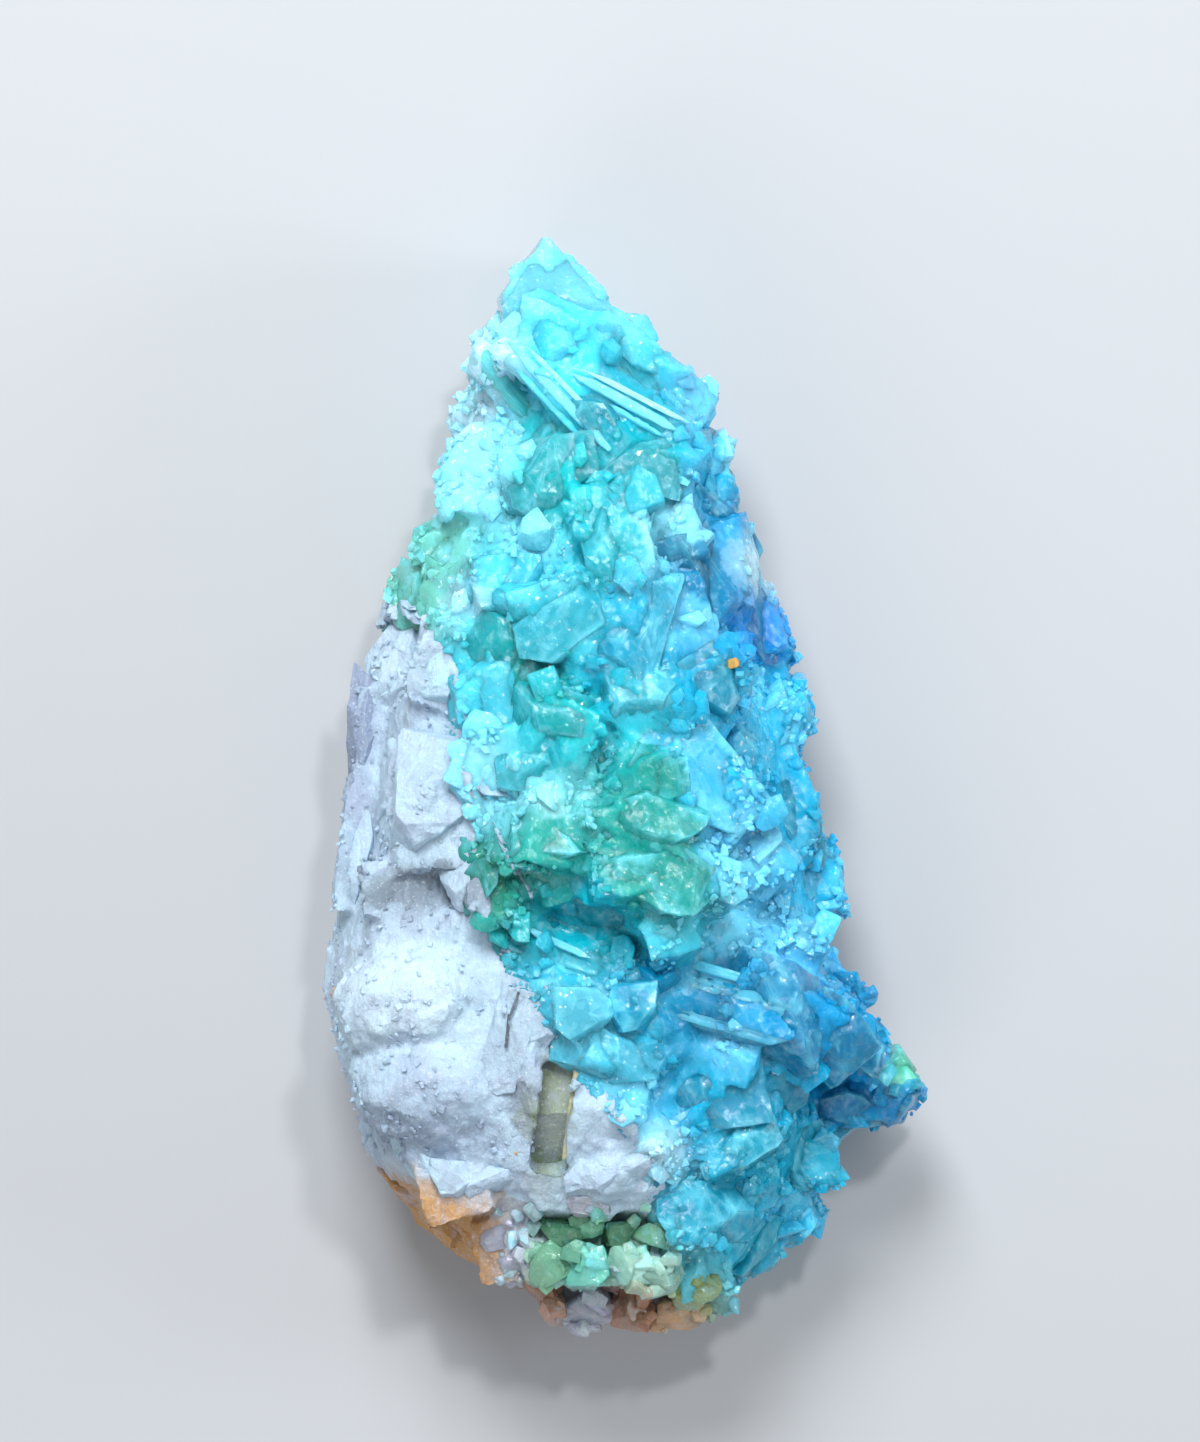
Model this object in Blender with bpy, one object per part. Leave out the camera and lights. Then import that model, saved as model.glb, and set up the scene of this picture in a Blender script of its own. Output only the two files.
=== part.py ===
"""Rough indicolite tourmaline: a broken, tooth-shaped piece of blue-green crystals grown in white feldspar.

It lies on its flat broken back. +Y runs to its point, +X to the blue side and +Z up out of its best face.
The origin is the middle of the bottom of its box. Sizes below are in millimetres, and the mesh is in metres.
"""

import math
import random
from typing import NamedTuple

import bmesh
import bpy
from mathutils import Euler, Matrix, Vector
from mathutils.bvhtree import BVHTree

MM = 0.001
NODE = "tourmaline_specimen"
SEED = 41

# The finished stone's box.
WIDTH = 33.4
LENGTH = 60.2
HEIGHT = 21.5


class Section(NamedTuple):
    """One cross-section of the body: where it is, its two sides, and the heights across its face."""

    y: float
    left: float
    right: float
    crest_x: float
    left_height: float
    crest_height: float
    right_height: float


# From the point at +Y to the broken foot at -Y. The white side is the left one.
SECTIONS = (
    Section(29.2, -5.6, -2.4, -3.9, 7.2, 8.2, 7.4),
    Section(26.6, -6.9, -0.6, -3.6, 8.6, 10.8, 8.6),
    Section(23.0, -8.3, 2.6, -2.8, 9.4, 12.8, 9.4),
    Section(19.0, -9.4, 5.0, -2.0, 10.0, 14.4, 9.8),
    Section(15.0, -10.4, 6.0, -1.4, 11.0, 15.8, 10.2),
    Section(11.0, -12.0, 7.8, -0.8, 11.6, 16.8, 10.8),
    Section(7.0, -13.3, 8.8, -0.4, 12.6, 17.4, 11.4),
    Section(3.0, -14.2, 10.0, -0.2, 13.6, 17.6, 11.8),
    Section(-1.0, -14.8, 10.4, -0.2, 14.4, 18.0, 12.2),
    Section(-5.0, -15.4, 11.0, -0.6, 14.2, 17.8, 12.6),
    Section(-9.0, -16.3, 11.8, -1.4, 14.6, 16.6, 12.8),
    Section(-13.0, -16.3, 12.4, -2.2, 15.6, 16.8, 13.0),
    Section(-17.0, -15.0, 11.6, -2.4, 15.6, 16.6, 13.0),
    Section(-20.0, -14.4, 11.0, -2.2, 14.0, 15.6, 12.4),
    Section(-23.0, -12.4, 10.2, -1.6, 10.4, 14.0, 11.6),
    Section(-26.0, -9.6, 8.2, -1.0, 8.2, 11.6, 10.0),
    Section(-28.6, -4.6, 5.4, 0.0, 6.4, 8.6, 7.6),
)
SIDE_HEIGHT = 0.45  # the widest line's height, as a share of the shoulder's
FOOT_INSET = 0.13  # how far the flat back stops short of the widest line, as a share of the width
SHOULDER_INSET = 0.11
CREST_HALF = 0.13
ROUGHNESS = 0.45  # how far the broken sides wander from the loft


class Growth(NamedTuple):
    """A crystal, grain or lump that stands on the body. rise is how far it stands out of the face."""

    form: str
    x: float
    y: float
    half_x: float
    half_y: float
    rise: float
    turn: float = 0.0
    tilt: float = 0.0


# The point: pale glassy blocks, and the lobes down its right edge.
POINT_GROWTHS = (
    Growth("spear", -3.8, 27.3, 2.9, 3.0, 1.6, 6),
    Growth("round", 0.4, 25.3, 2.2, 1.25, 1.2, -24),
    Growth("block", -3.4, 24.2, 3.0, 2.0, 1.6, -24),
    Growth("round", -7.2, 23.6, 1.15, 3.2, 1.2, -22),
    Growth("block", 1.0, 23.4, 3.0, 1.1, 1.3, -36),
    Growth("round", 3.3, 22.1, 1.5, 1.1, 1.0, -34),
    Growth("round", 4.2, 20.6, 1.3, 1.1, 1.0, -20),
    Growth("round", 5.2, 18.4, 1.4, 1.3, 1.0, 10),
    Growth("round", 5.6, 16.2, 1.2, 1.6, 0.8, 14),
    Growth("round", -8.6, 20.4, 1.1, 1.8, 0.9, -20),
)
# Long striated crystals that cross the upper face and the dark band, and the one that ends on the right.
PRISM_GROWTHS = (
    Growth("prism", -3.5, 20.9, 1.0, 4.6, 1.7, 44, -4),
    Growth("prism", 0.3, 20.8, 1.3, 4.7, 1.7, 59, -8),
    Growth("prism", -5.9, 21.6, 1.4, 2.6, 1.2, 40, 0),
    Growth("prism", -2.6, -9.0, 1.35, 4.2, 0.9, 76, -3),
    Growth("prism", 4.2, -11.4, 1.5, 5.6, 0.9, 72, -6),
    Growth("prism", 12.0, -17.0, 2.25, 4.9, 1.6, 96, -7),
    Growth("prism", 11.0, -12.9, 1.9, 4.8, 1.5, 53, -12),
)
# The larger grains of the blue-green side, from the point to the foot.
GRAIN_GROWTHS = (
    Growth("block", 2.0, 22.0, 3.3, 1.5, 1.5, -35, -6),
    Growth("block", -3.8, 16.3, 2.4, 2.5, 1.1, 8),
    Growth("block", 1.2, 17.4, 2.4, 1.7, 1.4, -12),
    Growth("block", -8.2, 16.4, 1.9, 2.4, 1.0, -10),
    Growth("block", -0.8, 13.3, 2.2, 2.7, 1.6, 12),
    Growth("block", 2.6, 13.6, 1.7, 2.6, 1.3, 22),
    Growth("block", -6.2, 11.0, 2.2, 1.8, 1.5, 10),
    Growth("block", -9.6, 12.9, 1.7, 1.7, 0.8, 30),
    Growth("block", -11.3, 10.2, 1.6, 1.8, 0.8, -18),
    Growth("slab", -8.3, 9.9, 0.9, 1.5, 1.3, 18, 10),
    Growth("block", -2.8, 9.0, 3.1, 2.5, 1.7, 14),
    Growth("block", 0.6, 8.0, 2.3, 3.6, 1.2, -6),
    Growth("round", 1.0, 4.9, 2.1, 1.8, 1.6, 0),
    Growth("block", 3.5, 9.0, 1.3, 2.4, 1.3, 16),
    Growth("block", 4.6, 11.2, 2.6, 3.0, 1.2, 14),
    Growth("block", 7.4, 8.7, 1.6, 2.2, 1.0, 20),
    Growth("block", 4.7, 5.5, 1.9, 2.1, 1.6, 28),
    Growth("round", 8.4, 3.9, 2.8, 2.9, 1.5, 20),
    Growth("slab", 4.4, 0.6, 1.9, 3.7, 1.2, 40),
    Growth("block", 9.3, -1.4, 1.5, 3.2, 0.9, 10),
    Growth("slab", 6.3, -2.9, 1.9, 3.2, 1.4, 42),
    Growth("block", -6.7, 8.0, 1.6, 1.6, 0.7, -20),
    Growth("block", -4.9, 6.6, 1.3, 2.2, 0.6, 8),
    Growth("block", -6.9, 5.3, 2.3, 2.1, 1.3, 16),
    Growth("block", -3.4, 3.5, 2.8, 1.7, 1.2, -22),
    Growth("block", -4.4, 1.4, 2.4, 1.9, 1.1, 4),
    Growth("round", -3.9, -0.4, 1.9, 1.3, 1.7, 24),
    Growth("block", -4.3, -2.9, 2.7, 1.7, 1.6, -10),
    Growth("block", 1.9, -4.6, 3.9, 2.1, 1.9, -6),
    Growth("block", 1.2, -1.7, 3.4, 1.9, 1.2, -14),
    Growth("block", 1.6, 0.9, 2.0, 1.7, 1.4, 6),
    Growth("block", -7.1, 0.6, 1.7, 3.1, 1.0, 4),
    Growth("block", -7.0, -5.6, 1.6, 1.8, 0.9, -8),
    Growth("block", -1.4, -6.9, 2.9, 1.5, 0.6, -14),
    Growth("block", 2.3, -7.9, 1.7, 1.7, 1.0, 20),
    Growth("round", 6.6, -7.9, 1.3, 1.2, 1.3, 0),
    Growth("block", 8.9, -8.4, 2.3, 1.7, 1.3, -26),
    Growth("block", 10.7, -5.4, 1.5, 2.2, 0.9, 12),
    Growth("block", 8.3, -11.9, 3.2, 2.6, 1.5, -28),
    Growth("round", 0.6, -11.7, 1.7, 1.6, 1.4, 10),
    Growth("block", -2.5, -11.9, 2.2, 1.6, 1.1, -6),
    Growth("round", -1.0, -14.2, 3.0, 1.7, 1.3, -12),
    Growth("block", 5.6, -13.9, 2.1, 1.5, 1.0, -20),
    Growth("block", 4.9, -16.4, 2.9, 2.2, 0.3, 10),
    Growth("round", 0.3, -17.3, 1.7, 1.6, 1.2, 0),
    Growth("round", 1.7, -19.5, 1.5, 1.3, 1.0, 30),
    Growth("block", 6.4, -19.2, 2.3, 1.7, 1.2, 24),
    Growth("block", 9.8, -20.3, 1.9, 1.9, 1.1, 8),
    Growth("block", 4.5, -22.7, 2.6, 2.0, 1.0, 0),
    Growth("round", 7.4, -25.3, 1.9, 2.1, 1.1, -14),
    Growth("block", 9.5, -23.6, 1.5, 1.6, 1.0, 20),
    Growth("block", 4.2, -26.3, 1.6, 1.5, 0.8, 12),
)
# The white side's lumps and plates, and the quartz, green and rusty pieces along the broken foot.
WHITE_GROWTHS = (
    Growth("lump", -12.0, 6.2, 2.0, 2.4, 1.2, -14),
    Growth("slab", -9.4, 6.7, 1.9, 2.4, 1.4, -24, 12),
    Growth("slab", -13.3, 2.2, 1.4, 3.2, 0.9, -4),
    Growth("slab", -14.2, -3.2, 1.3, 3.7, 1.0, -6),
    Growth("lump", -10.4, -0.6, 2.4, 3.5, 1.6, -8),
    Growth("slab", -10.6, -5.2, 3.6, 1.6, 0.4, 4),
    Growth("lump", -11.2, -11.4, 5.0, 3.6, 1.9, 10),
    Growth("lump", -10.2, -15.8, 5.2, 4.0, 1.6, -8),
    Growth("lump", -5.0, -13.6, 1.7, 3.3, 1.1, -8),
    Growth("lump", -0.9, -20.6, 2.7, 2.0, 1.1, 8),
    Growth("slab", -9.0, -21.4, 1.9, 1.6, 1.7, 16, 10),
    Growth("block", -6.4, -24.6, 1.3, 1.9, 1.4, 6),
    Growth("block", -2.8, -25.3, 2.3, 1.5, 1.5, -4),
    Growth("block", 1.0, -25.4, 2.0, 1.4, 1.4, -10),
    Growth("block", -2.6, -28.3, 1.7, 1.5, 0.8, 12),
    Growth("block", 1.5, -28.3, 2.1, 1.3, 0.6, -6),
    Growth("block", 4.3, -28.2, 1.4, 1.3, 0.7, 20),
)


class Hollow(NamedTuple):
    """A place where the rock has broken away: a rough pit, or a straight-sided slot."""

    form: str
    x: float
    y: float
    half_x: float
    half_y: float
    depth: float
    turn: float = 0.0


HOLLOWS = (
    Hollow("pit", -2.2, -7.9, 6.4, 2.3, 2.2, -13),
    Hollow("pit", 4.6, -16.2, 3.6, 2.6, 1.5, 16),
    Hollow("pit", -11.2, -5.6, 4.6, 1.3, 1.5, 4),
    Hollow("pit", 5.9, 2.6, 2.4, 0.9, 1.9, -48),
)
SLOTS = (
    Hollow("slot", -3.7, -17.6, 0.85, 3.0, 2.6, -6),
    Hollow("slot", -5.9, -13.8, 0.22, 2.4, 1.8, -18),
)
# Shallow breaks into the flat back, clear of its middle.
BACK_BREAKS = (
    Hollow("pit", -5.4, 20.4, 3.2, 5.2, 1.1, 16),
    Hollow("pit", 4.6, 10.0, 4.0, 3.2, 1.3, -20),
    Hollow("pit", -10.6, 4.6, 3.0, 5.4, 1.2, 8),
    Hollow("pit", 9.0, -6.4, 3.2, 4.6, 1.2, 0),
    Hollow("pit", -9.6, -15.6, 4.6, 4.0, 1.4, 30),
    Hollow("pit", 5.2, -22.6, 4.8, 3.2, 1.2, -24),
)

FILL_COUNT = 92
FILL_SMALLEST = 0.9
FILL_LARGEST = 1.9
FILL_SHY_OF_ENDS = 0.6
FILL_REACH = 2.5  # how near the body a spot must be for a grain to grow there
FILL_SUNK = 0.42  # a grain's depth in the body, as a share of its size, on a level face
FILL_SUNK_AT_EDGE = 0.4  # how much deeper it sits on an upright side
GRAIN_LEAN = 20.0  # how far the faces of a grain may tip from level, in degrees
FLOOR_CLEAR = 0.9  # a grain stays this far above the floor, so that the back stays flat
LOWEST_GRAIN = 2.4

BLOCK_CUTS = 7
SLAB_CUTS = 4
PRISM_SIDES = 9
PRISM_BULGE = 0.1
EDGE_CUTTER_REACH = 60.0


def clear_scene():
    for old in list(bpy.data.objects):
        bpy.data.objects.remove(old, do_unlink=True)


def new_collection(name):
    made = bpy.data.collections.new(name)
    bpy.context.scene.collection.children.link(made)
    return made


def add_object(name, bm, collection):
    """Turns a bmesh in millimetres into an object in metres."""
    bmesh.ops.recalc_face_normals(bm, faces=bm.faces)
    bmesh.ops.scale(bm, vec=(MM, MM, MM), verts=bm.verts)
    mesh = bpy.data.meshes.new(name)
    bm.to_mesh(mesh)
    bm.free()
    made = bpy.data.objects.new(name, mesh)
    collection.objects.link(made)
    return made


def as_tool(obj):
    """Marks an object as one that only shapes the stone."""
    obj.hide_render = True
    obj.display_type = "WIRE"
    return obj


def section_ring(section):
    """The corners of one cross-section, from the flat back's left edge round over the face to its right edge."""
    width = section.right - section.left
    foot = FOOT_INSET * width
    shoulder = SHOULDER_INSET * width
    crest = CREST_HALF * width
    corners = (
        (section.left + foot, 0.0),
        (section.left, SIDE_HEIGHT * section.left_height),
        (section.left + shoulder, section.left_height),
        (section.crest_x - crest, section.crest_height * 0.98),
        (section.crest_x + crest, section.crest_height),
        (section.right - shoulder, section.right_height),
        (section.right, SIDE_HEIGHT * section.right_height),
        (section.right - foot, 0.0),
    )
    return [(x, section.y, z) for x, z in corners]


def body_mesh():
    """The stone's broken body, lofted between its unlike sections."""
    bm = bmesh.new()
    rings = [[bm.verts.new(corner) for corner in section_ring(s)] for s in SECTIONS]
    for upper, lower in zip(rings, rings[1:]):
        for i, corner in enumerate(upper):
            after = (i + 1) % len(upper)
            bm.faces.new((corner, upper[after], lower[after], lower[i]))
    bm.faces.new(rings[0])
    bm.faces.new(rings[-1])
    sides = [e for e in bm.edges if max(v.co.z for v in e.verts) > 0]
    bmesh.ops.subdivide_edges(bm, edges=sides, cuts=1, use_grid_fill=True)
    rng = random.Random(SEED)
    for vertex in bm.verts:
        if vertex.co.z > 0:
            vertex.co += random_direction(rng) * rng.uniform(0, ROUGHNESS)
    bmesh.ops.triangulate(bm, faces=bm.faces)
    return bm


def random_direction(rng):
    height = rng.uniform(-1, 1)
    around = rng.uniform(0, math.tau)
    flat = math.sqrt(1 - height * height)
    return Vector((flat * math.cos(around), flat * math.sin(around), height))


def cut_off(bm, point, normal):
    """Breaks off all that lies past a plane and closes the break with one flat face."""
    everything = bm.verts[:] + bm.edges[:] + bm.faces[:]
    cut = bmesh.ops.bisect_plane(
        bm, geom=everything, dist=1e-5, plane_co=point, plane_no=normal, clear_outer=True
    )
    rim = [e for e in cut["geom_cut"] if isinstance(e, bmesh.types.BMEdge)]
    if rim:
        bmesh.ops.edgenet_fill(bm, edges=rim)


def block_mesh(rng, cuts, nearest=0.84, furthest=1.12):
    """A unit crystal grain: a block with its corners and edges broken off flat."""
    bm = bmesh.new()
    bmesh.ops.create_cube(bm, size=2.0)
    for _ in range(cuts):
        normal = random_direction(rng)
        cut_off(bm, normal * rng.uniform(nearest, furthest), normal)
    return bm


def round_mesh(rng, subdivisions, unevenness):
    """A unit rounded grain or lump with small uneven faces."""
    bm = bmesh.new()
    bmesh.ops.create_icosphere(bm, subdivisions=subdivisions, radius=1.0)
    for vertex in bm.verts:
        vertex.co *= rng.uniform(1.0 - unevenness, 1.0)
    return bm


def prism_mesh(rng):
    """A unit tourmaline prism along Y: a bulging three-sided section with nine faces and a broken end."""
    bm = bmesh.new()
    bmesh.ops.create_cone(
        bm, cap_ends=True, segments=PRISM_SIDES, radius1=1.0, radius2=1.0, depth=2.0
    )
    for vertex in bm.verts:
        around = math.atan2(vertex.co.y, vertex.co.x)
        swell = 1.0 + PRISM_BULGE * math.cos(3 * around)
        vertex.co.x *= swell
        vertex.co.y *= swell
    bmesh.ops.rotate(bm, matrix=Matrix.Rotation(math.radians(90), 3, "X"), verts=bm.verts)
    for end in (-1, 1):
        for lean in (-0.35, 0.35):
            normal = Vector((lean, end, rng.uniform(-0.3, 0.3))).normalized()
            cut_off(bm, normal * rng.uniform(0.84, 0.92), normal)
    return bm


def spear_mesh(rng):
    """A unit pointed crystal that narrows to the stone's tip at +Y."""
    bm = block_mesh(rng, 2, 1.1, 1.3)
    for side, reach in ((-1, 0.66), (1, 0.6)):
        normal = Vector((side * 0.82, 0.74, 0.0)).normalized()
        cut_off(bm, normal * reach, normal)
    face = Vector((0.1, 0.45, 0.85)).normalized()
    cut_off(bm, face * 0.82, face)
    return bm


def growth_mesh(form, rng):
    if form == "prism":
        return prism_mesh(rng)
    if form == "spear":
        return spear_mesh(rng)
    if form == "round":
        return round_mesh(rng, 1, 0.1)
    if form == "lump":
        return round_mesh(rng, 2, 0.12)
    if form == "slab":
        return block_mesh(rng, SLAB_CUTS, 1.0, 1.25)
    return block_mesh(rng, BLOCK_CUTS)


def growth_depth(growth):
    """A growth's half height: thin for a plate, and about as thick as it is wide for the rest."""
    if growth.form == "prism":
        return growth.half_x
    narrow = min(growth.half_x, growth.half_y)
    return narrow * (0.8 if growth.form == "slab" else 1.0) + 0.5


class Face:
    """The body's surface in millimetres, for setting growths and hollows on it."""

    def __init__(self, body):
        graph = bpy.context.evaluated_depsgraph_get()
        graph.update()
        self.tree = BVHTree.FromObject(body, graph)

    def height(self, x, y):
        """The height of the face over a point, or of the nearest side where the point is past the outline."""
        start = Vector((x, y, 100.0)) * MM
        hit = self.tree.ray_cast(start, Vector((0, 0, -1)))[0]
        if hit is None:
            hit = self.tree.find_nearest(Vector((x, y, 0.35 * HEIGHT)) * MM)[0]
        return hit.z / MM


def place(bm, centre, half, turn, tilt=0.0, roll=0.0):
    """Sizes a unit shape, tips it about its own X and Y, turns it about +Z and moves it to its place."""
    bmesh.ops.scale(bm, vec=half, verts=bm.verts)
    turned = Euler((math.radians(tilt), math.radians(roll), math.radians(turn))).to_matrix()
    bmesh.ops.rotate(bm, matrix=turned, verts=bm.verts)
    bmesh.ops.translate(bm, vec=centre, verts=bm.verts)


def add_growths(growths, face, collection, label):
    for i, growth in enumerate(growths):
        rng = random.Random(f"{label}{i}")
        bm = growth_mesh(growth.form, rng)
        depth = growth_depth(growth)
        z = face.height(growth.x, growth.y) + growth.rise - depth
        z = max(z, depth + FLOOR_CLEAR)
        half = (growth.half_x, growth.half_y, depth)
        lean = 0.0 if growth.form in ("prism", "slab", "spear") else GRAIN_LEAN
        tilt = growth.tilt + rng.uniform(-lean, lean)
        place(bm, (growth.x, growth.y, z), half, growth.turn, tilt, rng.uniform(-lean, lean))
        as_tool(add_object(f"{label}_{i:02d}", bm, collection))


def is_white(x, y):
    """True on the feldspar side: left of a line that runs down from the stone's left shoulder to its foot."""
    return y < 9.0 and x < -7.5 + 0.1 * (9.0 - y)


def add_fill(face, collection):
    """Small crystals over the blue-green sides and face, each half sunk in the body."""
    rng = random.Random(SEED)
    made = 0
    while made < FILL_COUNT:
        y = rng.uniform(SECTIONS[-1].y + FILL_SHY_OF_ENDS, SECTIONS[0].y - FILL_SHY_OF_ENDS)
        x = rng.uniform(-0.5 * WIDTH, 0.5 * WIDTH)
        level = rng.uniform(LOWEST_GRAIN, HEIGHT)
        size = rng.uniform(FILL_SMALLEST, FILL_LARGEST)
        hit, normal, _, distance = face.tree.find_nearest(Vector((x, y, level)) * MM)
        spot = hit / MM
        if distance > FILL_REACH * MM or normal.z < -0.2 or is_white(spot.x, spot.y):
            continue
        if spot.z < size + FLOOR_CLEAR:
            continue
        bm = block_mesh(random.Random(f"fill{made}"), BLOCK_CUTS - 1)
        upright = math.hypot(normal.x, normal.y)
        centre = spot - normal * (FILL_SUNK + FILL_SUNK_AT_EDGE * upright) * size
        half = (size, size * rng.uniform(0.8, 1.3), size)
        tilt, roll = (rng.uniform(-GRAIN_LEAN, GRAIN_LEAN) for _ in range(2))
        place(bm, centre, half, rng.uniform(0, 180), tilt, roll)
        as_tool(add_object(f"fill_{made:02d}", bm, collection))
        made += 1


def add_hollows(hollows, face, collection, label):
    for i, hollow in enumerate(hollows):
        rng = random.Random(f"{label}{i}")
        if hollow.form == "pit":
            bm = round_mesh(rng, 2, 0.1)
        else:
            bm = bmesh.new()
            bmesh.ops.create_cube(bm, size=2.0)
        half_z = 2.0 * hollow.depth
        z = face.height(hollow.x, hollow.y) - hollow.depth + half_z
        place(bm, (hollow.x, hollow.y, z), (hollow.half_x, hollow.half_y, half_z), hollow.turn)
        as_tool(add_object(f"{label}_{i}", bm, collection))


def add_back_breaks(collection):
    """Rough hollows cut up into the flat back."""
    for i, hollow in enumerate(BACK_BREAKS):
        bm = round_mesh(random.Random(f"back{i}"), 2, 0.1)
        half_z = 2.0 * hollow.depth
        centre = (hollow.x, hollow.y, hollow.depth - half_z)
        place(bm, centre, (hollow.half_x, hollow.half_y, half_z), hollow.turn)
        as_tool(add_object(f"back_{i}", bm, collection))


def add_floor_cutter(collection):
    """All that would reach below the flat back."""
    bm = bmesh.new()
    bmesh.ops.create_cube(bm, size=2.0)
    reach = EDGE_CUTTER_REACH
    place(bm, (0.0, 0.0, -reach), (reach, reach, reach), 0.0)
    as_tool(add_object("floor_cutter", bm, collection))


def boolean(obj, operation, collection):
    modifier = obj.modifiers.new(collection.name, "BOOLEAN")
    modifier.operation = operation
    modifier.operand_type = "COLLECTION"
    modifier.collection = collection
    modifier.solver = "EXACT"


def tourmaline_material():
    material = bpy.data.materials.new("blue_green_tourmaline")
    material.use_nodes = True
    shader = material.node_tree.nodes["Principled BSDF"]
    shader.inputs["Base Color"].default_value = (0.13, 0.58, 0.68, 1.0)
    shader.inputs["Roughness"].default_value = 0.28
    shader.inputs["Metallic"].default_value = 0.0
    return material


def main():
    clear_scene()
    stone = new_collection("Indicolite tourmaline")
    pits = new_collection("pits")
    growths = new_collection("growths")
    breaks = new_collection("breaks")

    body = add_object(NODE, body_mesh(), stone)
    body.data.materials.append(tourmaline_material())
    add_hollows(HOLLOWS, Face(body), pits, "pit")
    boolean(body, "DIFFERENCE", pits)

    face = Face(body)
    add_growths(POINT_GROWTHS, face, growths, "point")
    add_growths(PRISM_GROWTHS, face, growths, "prism")
    add_growths(GRAIN_GROWTHS, face, growths, "grain")
    add_growths(WHITE_GROWTHS, face, growths, "white")
    add_fill(face, growths)
    boolean(body, "UNION", growths)

    add_hollows(SLOTS, face, breaks, "slot")
    add_back_breaks(breaks)
    add_floor_cutter(breaks)
    boolean(body, "DIFFERENCE", breaks)


if __name__ == "__main__":
    main()
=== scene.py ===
"""The looks of a rough indicolite tourmaline: glassy blue-green crystals grown together in white feldspar.

The stone lies on its flat back. +Y runs to its point, +X to its blue side and +Z up out of its best face.
Sizes of pieces are in millimetres in the tables below, and meshes are in metres, in the frame of the solid.
"""

import logging
import math
import random
from bisect import bisect
from dataclasses import dataclass, field
from enum import Enum
from typing import Callable, Iterable, Iterator

import bmesh
import bpy
import numpy as np
from mathutils import Euler, Matrix, Quaternion, Vector, noise
from mathutils.bvhtree import BVHTree
from mathutils.kdtree import KDTree


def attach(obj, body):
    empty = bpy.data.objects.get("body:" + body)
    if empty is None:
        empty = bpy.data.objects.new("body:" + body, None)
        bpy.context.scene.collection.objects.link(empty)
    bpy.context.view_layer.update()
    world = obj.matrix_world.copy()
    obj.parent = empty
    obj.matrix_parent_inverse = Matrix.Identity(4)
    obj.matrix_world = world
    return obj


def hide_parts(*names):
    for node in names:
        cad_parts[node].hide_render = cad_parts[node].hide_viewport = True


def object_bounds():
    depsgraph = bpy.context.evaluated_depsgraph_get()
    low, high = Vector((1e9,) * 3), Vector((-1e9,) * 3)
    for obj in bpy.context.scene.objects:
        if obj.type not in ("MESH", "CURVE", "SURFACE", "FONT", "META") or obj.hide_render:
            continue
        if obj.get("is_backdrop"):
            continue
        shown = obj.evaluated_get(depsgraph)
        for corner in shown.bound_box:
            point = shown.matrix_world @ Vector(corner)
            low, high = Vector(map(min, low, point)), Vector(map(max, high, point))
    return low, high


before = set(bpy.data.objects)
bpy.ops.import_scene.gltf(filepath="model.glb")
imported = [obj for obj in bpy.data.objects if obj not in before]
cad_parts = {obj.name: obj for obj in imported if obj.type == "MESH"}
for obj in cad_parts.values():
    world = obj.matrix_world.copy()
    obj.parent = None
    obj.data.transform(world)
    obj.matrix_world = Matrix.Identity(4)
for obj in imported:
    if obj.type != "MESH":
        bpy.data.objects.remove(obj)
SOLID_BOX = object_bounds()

MM = 0.001
NODE = "tourmaline_specimen"
BODY = "root"
TINT_LAYER = "tint"

LOG = logging.getLogger("tourmaline")


class Tint(Enum):
    """The stone's colours as sRGB hex. A few of them are painted highlights and painted shade."""

    ICE = "70DCF4"
    BRIGHT_CYAN = "48E4FF"
    CYAN = "08CEFC"
    AQUA = "48D4EC"
    PALE_AQUA = "8CE4F8"
    SEA_GREEN = "08C0C8"
    TEAL = "18B2C2"
    DEEP_GREEN = "0A9C96"
    MINT = "18A49A"
    PALE_MINT = "9CE8EA"
    LEAF_GREEN = "6CC4B4"
    MILKY_TEAL = "2CB8CE"
    BLUE_TEAL = "08A8D0"
    SKY = "22B8E6"
    PALE_SKY = "62C8F2"
    AZURE = "0092CA"
    DEEP_BLUE = "008EE0"
    NAVY = "008CCC"
    DEEP_TEAL = "00AEC4"
    DEPTH = "0080AE"
    LAGOON = "00A6D0"
    GREEN_TIP = "5CC4A4"
    BOTTLE_GREEN = "2A9A84"
    OLIVE = "86946E"
    WHITE_CRUST = "BCE6F6"
    CHALK = "B4CEE0"
    LILAC_GREY = "8A9AB2"
    QUARTZ = "B8BCCB"
    TAN = "C08E4E"
    RUST = "D8A030"
    STRAW = "C6BE8C"
    MOSS = "46785A"
    # Dark grey for the plates along the filled crack: painted shade of the crack.
    PAINTED_CRACK_SHADE = "4E5660"
    PALE_GREEN = "72AE8E"
    LICHEN = "96A870"
    DULL_AQUA = "40B8D6"
    DUSK_BLUE = "0AA4C6"
    # Painted shadow under the white ledge.
    PAINTED_LEDGE_SHADOW = "74828E"
    # Painted highlight on the top of the white lump.
    PAINTED_LUMP_HIGHLIGHT = "C6DEEA"
    LENS_TEAL = "00A8C0"
    # Near-white, for the painted highlight lines on the top prisms.
    PAINTED_GLINT = "AEF0FA"
    FOOT_MINT = "9CC8B8"
    SAND = "C49C78"
    BROWN_PINK = "B88468"

    def linear(self) -> tuple[float, float, float]:
        """Returns the colour as linear red, green and blue."""
        levels = [int(self.value[i : i + 2], 16) / 255 for i in (0, 2, 4)]
        return tuple(c / 12.92 if c <= 0.04045 else ((c + 0.055) / 1.055) ** 2.4 for c in levels)


class Shape(Enum):
    """The kinds of crystal and lump."""

    BLOCK = "block"
    ROUND = "round"
    SLAB = "slab"
    PRISM = "prism"
    SPEAR = "spear"
    PLATE = "plate"


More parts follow.
